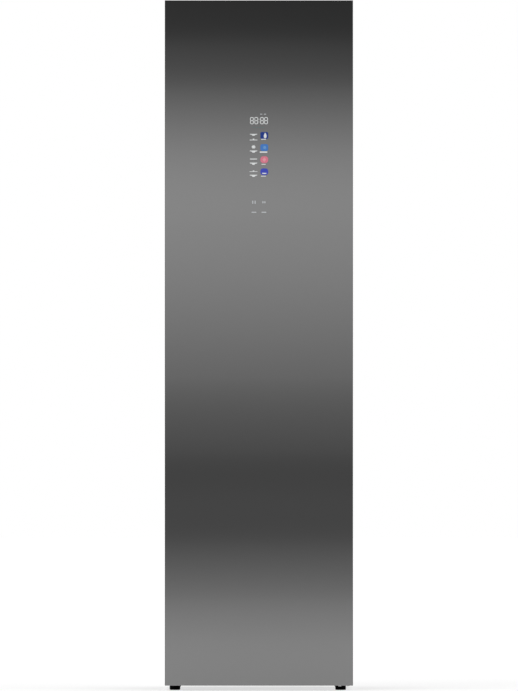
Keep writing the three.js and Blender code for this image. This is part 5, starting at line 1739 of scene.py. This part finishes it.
@dataclass
class Shaker(Assembly):
    """The drive above the cabin: carriage, guides, crank disc, bridge and motor."""

    fold: float = 0.7 * MM
    moulded: float = 1.2 * MM
    clearance: float = 1.5 * MM
    disc: float = 28 * MM
    disc_thick: float = 5 * MM
    pin: float = 4 * MM
    arm: float = 19.2 * MM
    shaft: float = 4 * MM
    motor: float = 30 * MM
    motor_round: float = 4 * MM
    motor_edge: float = 1 * MM
    band: float = 1.2 * MM
    band_places: Span = (0.3, 0.62)
    terminal: Point = (14 * MM, 8 * MM, 12 * MM)
    terminal_rise: float = 4 * MM
    terminal_bite: float = 0.6 * MM
    bridge_screw: Screw = Screw(3.5 * MM, 2 * MM)
    bridge_foot: float = 3 * MM
    bridge_insets: Span = (12 * MM, 7 * MM)
    guide_screw: Screw = Screw(3 * MM, 1.8 * MM)
    guide_inset: float = 5.5 * MM

    def build(self) -> None:
        """Makes the drive's pieces."""
        for side in ("left", "right"):
            soften(f"{side}_carriage_guide", BLACK_PLASTIC, self.moulded)
        soften("shaker_bridge", ZINC, self.fold)
        soften("shaker_carriage", ZINC, self.fold)
        self.crank()
        self.can()
        self.bridge_screws()
        self.guide_screws()

    def crank(self) -> None:
        """Makes the crank disc with its shaft and its pin."""
        low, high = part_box("crank_disc")
        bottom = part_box("shaker_carriage")[1].z + self.clearance
        top = bottom + self.disc_thick
        edge = self.fold
        disc = Form.turned("crank_disc_body", [
            (self.disc - edge, bottom), (self.disc, bottom + edge), (self.disc, top - edge),
            (self.disc - edge, top), (self.disc * 0.8, top), (self.disc * 0.78, top - edge),
            (self.shaft * 2.2, top - edge), (self.shaft * 2, top + edge), (self.shaft, top + edge),
            (self.shaft, high.z - edge), (self.shaft - edge, high.z),
        ], 56)
        tip = [(self.pin - edge, low.z), (self.pin, low.z + edge), (self.pin, bottom + edge)]
        pin = Form.turned("pin", tip, 28).laid(Facing.UP, (0, self.arm, 0))
        disc.joined(pin).laid(Facing.UP, (*middle_of("shaker_motor"), 0))
        disc.dress(STAINLESS, "crank", "crank_disc")

    def can(self) -> None:
        """Makes the motor's can, with pressed bands and a terminal block."""
        low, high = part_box("shaker_motor")
        edge = self.motor_edge
        bands = [step for share in self.band_places
                 for step in pressed_band(self.motor, low.z + (high.z - low.z) * share, self.band)]
        can = Form.turned("shaker_motor_can", [
            (self.motor - edge, low.z), (self.motor, low.z + edge), *bands,
            *upper_edge(self.motor, high.z, self.motor_round),
            (self.motor * 0.4, high.z), (self.motor * 0.36, high.z - edge), (self.shaft, high.z - edge),
        ], 64)
        (wide, deep, tall), start = self.terminal, low.z + self.terminal_rise
        inner = (wide / 2, self.motor - self.terminal_bite, start + tall)
        block = Form.block("terminal", (-wide / 2, self.motor - deep, start), inner)
        can.joined(block.rounded(edge, 2)).laid(Facing.UP, (*middle_of("shaker_motor"), 0))
        can.dress(BLACK_STEEL, CABINET, "shaker_motor")

    def bridge_screws(self) -> None:
        """Makes the screws through the bridge's feet."""
        low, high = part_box("shaker_bridge")
        across, deep = self.bridge_insets
        foot = low.z + self.bridge_foot
        places = [(x, y, foot) for x in (low.x + across, high.x - across)
                  for y in (low.y + deep, high.y - deep)]
        self.bridge_screw.head("shaker_bridge_screws").at(places).dress(SCREW_ZINC, CABINET)

    def guide_screws(self) -> None:
        """Makes the screws on top of the carriage guides."""
        places = []
        for side in ("left", "right"):
            low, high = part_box(f"{side}_carriage_guide")
            middle = (low.x + high.x) / 2
            places += [(middle, y, high.z) for y in (low.y + self.guide_inset, high.y - self.guide_inset)]
        self.guide_screw.head("carriage_guide_screws").at(places).dress(SCREW_ZINC, CABINET)


@dataclass
class Coil(Assembly):
    """A heat exchanger: a stack of thin fins on two copper tubes with bends at both ends."""

    node: str
    end_space: float = 20 * MM
    fin: float = 0.5 * MM
    pitch: float = 3.4 * MM
    end_plate: float = 1.5 * MM
    tube: float = 4 * MM
    tube_places: Span = (0.27, 0.73)
    passes: int = 8

    def build(self) -> None:
        """Makes the fins and the tubes."""
        self.fins()
        self.tubes()

    def ends(self) -> Span:
        """Where the fins begin and end."""
        low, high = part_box(self.node)
        return (low.x + self.end_space, high.x - self.end_space)

    def fins(self) -> None:
        """Makes the fins between two end plates."""
        (low, high), (left, right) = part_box(self.node), self.ends()
        fin = Form.block(f"{self.node}_fins", (left, low.y, low.z), (left + self.fin, high.y, high.z))
        fin.row(int((right - left) / self.pitch), (self.pitch, 0, 0))
        for x in (left, right):
            plate = Form.block("end_plate", (x - self.end_plate, low.y, low.z), (x, high.y, high.z))
            fin.joined(plate.rounded(self.fin, 1))
        fin.dress(ALUMINIUM, CABINET, self.node)

    def tubes(self) -> None:
        """Makes two serpentine tubes, side by side."""
        (low, high), (left, right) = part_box(self.node), self.ends()
        step = (high.z - low.z) / self.passes
        points: list[Span] = []
        for index in range(self.passes):
            level = low.z + step * (index + 0.5)
            start, end = (right, left) if index % 2 else (left, right)
            points += [(start, level), (end, level)]
            if index < self.passes - 1:
                outward = math.copysign(1, end - start)
                bend = arc((0, level + step / 2), step / 2, -90, 90, 8)
                points += [(end + outward * x, z) for x, z in bend[1:-1]]
        depth = high.y - low.y
        runs = []
        for share in self.tube_places:
            run = [(x, low.y + depth * share, z) for x, z in points]
            runs.append(Form.tube(f"{self.node}_tubes", run, self.tube, 2))
        Form.union(f"{self.node}_tubes", runs).dress(COPPER, CABINET, smooth=TUBE_SMOOTH)


@dataclass
class AirMover(Assembly):
    """The moulded duct and the blower in it: scroll housing, wheel, and motor."""

    foam_edge: float = 2 * MM
    moulded: float = 1 * MM
    radius: float = 52 * MM
    disc: float = 2 * MM
    depth: float = 50 * MM
    shaft: float = 4 * MM
    hub: float = 13 * MM
    blade: float = 1.3 * MM
    chord: float = 9 * MM
    bow: Span = (0.22, 0.62)
    blades: int = 30
    rim: float = 1.6 * MM
    can: float = 32 * MM
    flange: Span = (38 * MM, 3 * MM)
    band: float = 1 * MM
    band_place: float = 0.4
    screw: Screw = Screw(2.4 * MM, 1.5 * MM)
    screw_inset: float = 3 * MM

    def build(self) -> None:
        """Makes the duct, the housing, the wheel and the motor."""
        soften("air_duct", FOAM, self.foam_edge, 3)
        soften("blower_housing", BLACK_PLASTIC, self.moulded)
        self.wheel()
        self.motor()
        self.motor_screws()

    def axis(self) -> Point:
        """The place of the wheel's axis at its back disc."""
        low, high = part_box("blower_wheel")
        return ((low.x + high.x) / 2, low.y + self.depth, (low.z + high.z) / 2)

    def wheel(self) -> None:
        """Makes the wheel: disc, hub and shaft, a cage of curved blades and a rim."""
        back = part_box("blower_wheel")[1].y - self.axis()[1]
        disc = Form.turned("blower_wheel_body", [
            (self.shaft - self.blade / 2, -back), (self.shaft, -back + self.blade), (self.shaft, 0),
            (self.radius, 0), (self.radius, self.disc), (self.hub * 2.2, self.disc),
            (self.hub * 1.3, self.disc * 3), (self.hub, self.hub), (self.hub * 0.8, self.hub * 1.15),
            (self.shaft, self.hub * 1.2),
        ], 64)
        ends = (self.radius - self.chord / 2, self.radius - self.blade)
        bow = [(self.radius - self.chord, 0.0), *((x, self.chord * rise) for x, rise in zip(ends, self.bow))]
        outline = [*bow, *((x, y + self.blade) for x, y in reversed(bow))]
        place = (0, 0, self.disc / 2 + self.depth / 2)
        blade = Form.outline("blade", outline, self.depth - self.disc, facing=Facing.UP, place=place)
        ring = [(x, y, self.depth - self.rim) for x, y in arc((0, 0), self.radius - self.rim, 0, 352, 44)]
        rim = Form.tube("rim", ring, self.rim, 3, closed=True)
        wheel = disc.joined(blade.around(self.blades), rim)
        wheel.laid(Facing.FRONT, self.axis()).dress(WHITE_PLASTIC, "blower_wheel", "blower_wheel")

    def motor(self) -> None:
        """Makes the motor's can on its flange."""
        low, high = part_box("blower_motor")
        length, (wide, thick) = high.y - low.y, self.flange
        motor = Form.turned("blower_motor_can", [
            (wide - self.band, 0), (wide, self.band), (wide, thick), (self.can, thick),
            *pressed_band(self.can, length * self.band_place, self.band),
            *upper_edge(self.can, length, self.band * 4),
            (self.can * 0.35, length), (self.can * 0.3, length - self.band),
        ], 64)
        motor.laid(Facing.BACK, (self.axis()[0], low.y, self.axis()[2]))
        motor.dress(ZINC, CABINET, "blower_motor")

    def motor_screws(self) -> None:
        """Makes the three screws in the motor's flange."""
        x, _, z = self.axis()
        wide, thick = self.flange
        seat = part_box("blower_motor")[0].y + thick
        head = self.screw.head("blower_motor_screws").laid(Facing.BACK)
        ring = arc((x, z), wide - self.screw_inset, 30, 270, 2)
        head.at((across, seat, up) for across, up in ring).dress(SCREW_ZINC, CABINET)


@dataclass
class Compressor(Assembly):
    """The compressor's welded can on its plate and rubber feet, and its two copper pipes."""

    radius: float = 66 * MM
    lift: float = 12 * MM
    plate: float = 3 * MM
    height: float = 185 * MM
    dome: float = 30 * MM
    dome_turns: tuple[float, ...] = (0, 0.3, 0.6, 0.9, 1.2, 1.5)
    stub: float = 5 * MM
    stub_rise: float = 8 * MM
    seam: float = 1.5 * MM
    seam_place: float = 0.45
    corner: float = 12 * MM
    foot: float = 9 * MM
    foot_gap: float = 0.1 * MM
    pipe: float = 4 * MM
    box: Point = (44 * MM, 10 * MM, 50 * MM)
    box_start: float = 0.35

    def build(self) -> None:
        """Makes the pipes, the can, the terminal cover and the feet."""
        for name in ("discharge", "suction"):
            smooth_tube(f"{name}_pipe", COPPER, self.pipe)
        self.can()
        self.cover()
        self.feet()

    def place(self) -> Point:
        """The middle of the compressor's footprint."""
        return (*middle_of("compressor"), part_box("compressor")[0].z)

    def can(self) -> None:
        """Makes the can with its welded seam, joined to the square foot plate."""
        base, shoulder = self.lift + self.plate, self.height - self.dome
        seat, seam = self.radius - self.seam, base + (shoulder - base) * self.seam_place
        dome = [(seat - self.dome * (1 - math.cos(turn)), shoulder + self.dome * math.sin(turn))
                for turn in self.dome_turns]
        can = Form.turned("compressor_can", [
            (seat - self.dome / 3, base), (seat - self.dome / 12, base + self.dome / 8),
            (seat, base + self.dome / 3), (seat, seam), (self.radius, seam + self.seam / 2),
            (self.radius, seam + 2 * self.seam), (seat, seam + 3 * self.seam), *dome,
            (self.stub * 2.4, self.height), (self.stub, self.height + self.stub),
            (self.stub, self.height + self.stub_rise),
        ], 72)
        middle = (0, 0, self.lift + self.plate / 2)
        square = rounded_box(2 * self.radius, 2 * self.radius, self.corner)
        plate = Form.outline("plate", square, self.plate, self.seam / 3, Facing.UP, middle)
        can.joined(plate).laid(Facing.UP, self.place()).dress(BLACK_STEEL, CABINET, "compressor")

    def cover(self) -> None:
        """Makes the cover over the electrical terminals, on the side of the can."""
        width, out, tall = self.box
        x, y, z = self.place()
        face = y - self.radius - out + self.seam
        bottom = z + self.height * self.box_start
        cover = Form.block("compressor_terminal_cover", (x - width / 2, face, bottom),
                           (x + width / 2, y - self.radius * 0.9, bottom + tall))
        cover.pick(Side.FRONT.has).inset(self.seam * 2, self.seam)
        cover.rounded(self.seam, 3).dress(BLACK_PLASTIC, CABINET)

    def feet(self) -> None:
        """Makes the four rubber feet under the plate, each drawn in at its middle."""
        reach = self.radius - self.foot
        foot = Form.turned("compressor_feet", [
            (self.foot * 0.9, 0), (self.foot, self.seam), (self.foot, self.lift * 0.35),
            (self.foot * 0.75, self.lift * 0.5), (self.foot, self.lift * 0.65),
            (self.foot, self.lift - self.foot_gap),
        ], 32)
        x, y, z = self.place()
        places = [(x + across, y + deep, z) for across in (-reach, reach) for deep in (-reach, reach)]
        foot.at(places).dress(RUBBER, CABINET)


@dataclass
class WaterWorks(Assembly):
    """The steam generator, the two pumps and their hoses."""

    cast: float = 2.2 * MM
    moulded: float = 1.5 * MM
    pump: float = 23 * MM
    rib: float = 0.9 * MM
    ribs: int = 4
    rib_start: float = 16 * MM
    rib_pitch: float = 9 * MM
    hose: float = 5 * MM
    steam_hose: float = 8 * MM
    clamp: Span = (6 * MM, 0.9 * MM)
    bolt: float = 3.2 * MM
    bolt_insets: Span = (15 * MM, 25 * MM)
    bolt_columns: int = 3

    def build(self) -> None:
        """Makes the pumps, the hoses and the boiler."""
        pumps = ("water_pump", "drain_pump")
        for node in pumps:
            soften(node, BLACK_PLASTIC, self.moulded)
        smooth_tube("water_hose", SILICONE, self.hose)
        smooth_tube("steam_hose", SILICONE, self.steam_hose)
        soften("steam_generator", ALUMINIUM, self.cast, 3)
        self.bolts()
        for node in pumps:
            self.pump_ribs(node)
        self.clamps()

    def bolts(self) -> None:
        """Makes the bolts round the boiler's lid."""
        low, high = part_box("steam_generator")
        near, far = self.bolt_insets
        profile = [(self.bolt, 0), (self.bolt, self.bolt), (self.bolt * 0.7, self.bolt * 1.2)]
        columns = spaced(low.x + far, high.x - near, self.bolt_columns)
        places = [(x, y, high.z) for x in columns for y in (low.y + near, high.y - far)]
        Form.turned("steam_generator_bolts", profile, 6).at(places).dress(SCREW_ZINC, CABINET)

    def pump_ribs(self, node: str) -> None:
        """Makes the rings round a pump's motor.

        Args:
            node: The pump.
        """
        low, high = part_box(node)
        place = (low.x + self.rib_start, (low.y + high.y) / 2, high.z - self.pump)
        inner, outer = self.pump - self.rib, self.pump + self.rib
        profile = [(inner, 0), (outer, self.rib / 2), (outer, self.rib * 2), (inner, self.rib * 2.5)]
        ring = Form.turned(f"{node}_ribs", profile, 48).laid(Facing.RIGHT, place)
        ring.row(self.ribs, (self.rib_pitch, 0, 0)).dress(BLACK_PLASTIC, CABINET)

    def clamps(self) -> None:
        """Makes the spring clamps at both ends of the hoses."""
        width = self.clamp[0]
        low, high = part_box("water_hose")
        middle, level = (low.y + high.y) / 2, high.z - self.hose
        rings = [self.ring(self.hose).laid(Facing.RIGHT, (x, middle, level))
                 for x in (low.x + width / 2, high.x - 1.5 * width)]
        low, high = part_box("steam_hose")
        end = ((low.x + high.x) / 2, high.y - self.steam_hose, high.z - 2 * width)
        rings.append(self.ring(self.steam_hose).laid(Facing.UP, end))
        Form.union("hose_clamps", rings).dress(SCREW_ZINC, CABINET)

    def ring(self, radius: float) -> Form:
        """One clamp, upright, with two ears.

        Args:
            radius: The hose's radius.

        Returns:
            The clamp.
        """
        width, thick = self.clamp
        inner, outer = radius - thick / 2, radius + thick
        ring = Form.turned("clamp", [(inner, 0), (outer, 0), (outer, width), (inner, width)], 40)
        ear = Form.block("ear", (outer - thick, -2 * thick, width * 0.2),
                         (outer + 2.5 * thick, -thick, width * 0.8))
        other = ear.twin(Matrix.Translation((0, 3 * thick, 0)))
        return ring.joined(ear, other).rounded(thick / 4, 1)


@dataclass
class Controls(Assembly):
    """The control board over the cabin, with its components."""

    edge: float = 0.3 * MM
    face_rise: float = 9.6 * MM
    can: Span = (5 * MM, 11 * MM)
    cans: int = 4
    can_start: Span = (18 * MM, 20 * MM)
    can_step: float = 2.6
    chip: Point = (12 * MM, 9 * MM, 1.6 * MM)
    chips: int = 3
    chip_start: Span = (14 * MM, 22 * MM)
    chip_step: float = 1.8
    socket: Point = (16 * MM, 6 * MM, 8 * MM)
    sockets: int = 4
    socket_start: Span = (20 * MM, 2 * MM)
    socket_step: float = 1.3

    def build(self) -> None:
        """Makes the board and its components."""
        soften("control_board", LAMINATE, self.edge)
        self.capacitors()
        self.plugs()
        self.flat_chips()

    def board(self) -> tuple[Vector, Vector, float]:
        """The board's corners and the height of its upper face."""
        low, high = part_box("control_board")
        return low, high, low.z + self.face_rise

    def capacitors(self) -> None:
        """Makes a row of capacitor cans with a groove near their feet."""
        low, high, face = self.board()
        radius, height = self.can
        can = Form.turned("control_board_capacitors", [
            (radius, 0), (radius, height * 0.12), (radius * 0.88, height * 0.18), (radius, height * 0.24),
            (radius, height * 0.94), (radius * 0.92, height), (radius * 0.7, height),
            (radius * 0.68, height * 0.97),
        ], 24)
        step = self.can_step * radius
        across, deep = self.can_start
        places = [(high.x - across, low.y + deep + step * index, face) for index in range(self.cans)]
        can.at(places).dress(BLACK_STEEL, CABINET)

    def plugs(self) -> None:
        """Makes a row of white plug sockets along the front edge."""
        low, _, face = self.board()
        width, deep, tall = self.socket
        socket = Form.block("control_board_sockets", (0, 0, 0), (width, deep, tall))
        socket.pick(Side.TOP.has).inset(deep * 0.15).inset(deep * 0.02, -tall * 0.7)
        socket.rounded(self.edge, 2)
        start, step = low.x + self.socket_start[0], width * self.socket_step
        front = low.y + self.socket_start[1]
        places = [(start + index * step, front, face) for index in range(self.sockets)]
        socket.at(places).dress(WHITE_PLASTIC, CABINET)

    def flat_chips(self) -> None:
        """Makes the flat chips with bevelled tops."""
        low, high, face = self.board()
        width, deep, tall = self.chip
        chip = Form.block("control_board_chips", (0, 0, 0), (width, deep, tall))
        chip.pick(Side.TOP.has).inset(tall * 0.4, tall * 0.2).rounded(self.edge / 2, 1)
        start, step = low.x + self.chip_start[0], width * self.chip_step
        back = high.y - self.chip_start[1]
        places = [(start + index * step, back, face) for index in range(self.chips)]
        chip.at(places).dress(CHIP, CABINET)


@dataclass(frozen=True)
class Sun:
    """A soft, even light.

    Attributes:
        name: Its name.
        strength: Its power in watts per square metre.
        turn: Its rotation about X, Y and Z, in degrees.
        softness: How wide it is in the sky, in degrees.
    """

    name: str
    strength: float
    turn: Point
    softness: float = 50

    def shine(self) -> None:
        """Adds the light to the scene."""
        light = bpy.data.lights.new(self.name, "SUN")
        light.energy = self.strength
        light.angle = math.radians(self.softness)
        obj = bpy.data.objects.new(self.name, light)
        obj.rotation_euler = [math.radians(angle) for angle in self.turn]
        bpy.context.collection.objects.link(obj)


@dataclass
class Studio:
    """Plain white surroundings, soft even light and a level camera straight in front."""

    frame_pixels: tuple[int, int] = (518, 691)
    pixel: float = 2.657 * MM
    middle_pixel: float = 258.905
    ground_pixel: float = 690.55
    lens: float = 1000.0
    sensor: float = 36.0
    near: float = 1.0
    floor_half: float = 40.0
    floor_tone: float = 0.5
    floor_glow: float = 0.57
    floor_roughness: float = 0.9
    ambient: float = 0.62
    suns: tuple[Sun, ...] = (
        Sun("key_light", 0.9, (58, 0, -32)), Sun("fill_light", 0.5, (66, 0, 40)),
        Sun("back_light", 0.5, (50, 0, 170)),
    )

    def build(self) -> None:
        """Sets up the surroundings."""
        bpy.context.scene.view_settings.view_transform = "Standard"
        self.world()
        self.floor()
        for sun in self.suns:
            sun.shine()
        self.camera()

    def world(self) -> None:
        """Makes a sky that is white to look at and gentler as a light."""
        world = bpy.data.worlds.new("studio")
        bpy.context.scene.world = world
        world.use_nodes = True
        nodes, links = world.node_tree.nodes, world.node_tree.links
        nodes.clear()
        mix = nodes.new("ShaderNodeMixShader")
        links.new(self.seen_rays(world.node_tree), mix.inputs[0])
        for socket, strength in zip(mix.inputs[1:], (self.ambient, 1.0)):
            sky = nodes.new("ShaderNodeBackground")
            sky.inputs["Color"].default_value = grey(1.0)
            sky.inputs["Strength"].default_value = strength
            links.new(sky.outputs[0], socket)
        links.new(mix.outputs[0], nodes.new("ShaderNodeOutputWorld").inputs[0])

    def seen_rays(self, tree: bpy.types.NodeTree) -> Socket:
        """Tells whether a ray comes from the camera, a reflection or through glass.

        Args:
            tree: The node tree that asks.

        Returns:
            A socket of 1 for such a ray and 0 for any other.
        """
        path = tree.nodes.new("ShaderNodeLightPath")
        total = path.outputs["Is Camera Ray"]
        for name in ("Is Glossy Ray", "Is Transmission Ray"):
            most = tree.nodes.new("ShaderNodeMath")
            most.operation = "MAXIMUM"
            tree.links.new(total, most.inputs[0])
            tree.links.new(path.outputs[name], most.inputs[1])
            total = most.outputs[0]
        return total

    def floor(self) -> None:
        """Makes a pale floor that meets the white of the sky and keeps the shadow."""
        clear_selection()
        bpy.ops.mesh.primitive_plane_add(size=2 * self.floor_half, location=(0, 0, 0))
        floor = bpy.context.object
        floor.name = "studio_floor"
        graph = Graph("studio_floor")
        graph.feed(graph.shader, Base_Color=grey(self.floor_tone), Roughness=self.floor_roughness,
                   Specular_IOR_Level=0.0)
        glow = graph.math("MULTIPLY", self.seen_rays(graph.tree), self.floor_glow)
        graph.feed(graph.shader, Emission_Color=grey(1.0), Emission_Strength=glow)
        floor.data.materials.append(graph.material)

    def camera(self) -> None:
        """Sets a level camera, so far away that nothing tapers in the picture."""
        width, height = self.frame_pixels
        data = bpy.data.cameras.new("camera")
        data.lens = self.lens
        data.sensor_width = self.sensor
        distance = height * self.pixel * self.lens / self.sensor
        data.clip_start, data.clip_end = self.near, 2 * distance
        camera = bpy.data.objects.new("camera", data)
        across = (width / 2 - self.middle_pixel) * self.pixel
        up = (self.ground_pixel - height / 2) * self.pixel
        camera.location = (across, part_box("door_glass")[0].y - distance, up)
        camera.rotation_euler = (math.pi / 2, 0, 0)
        bpy.context.collection.objects.link(camera)
        bpy.context.scene.camera = camera


def main() -> None:
    """Builds every sub-assembly in order and reports its pieces."""
    logging.basicConfig(level=logging.INFO, format="%(message)s")
    Studio().build()
    feet = [Foot(f"{place}_foot") for place in ("front_left", "front_right", "rear_left", "rear_right")]
    lifted = (Tank("supply_tank"), Tank("drain_tank"), Filter())
    machine = (Coil("evaporator"), Coil("condenser"), AirMover(), Compressor(), WaterWorks(), Controls())
    front = (Casing(), Door(), Display(), *feet, Cabin(), HangerRail(), *lifted, Shaker())
    for assembly in (*front, *machine):
        made = len(FINISHED)
        assembly.build()
        for piece in FINISHED[made:]:
            log.info("%s: %s on %s", type(assembly).__name__, piece.name, piece["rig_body"])


if __name__ == "__main__":
    main()
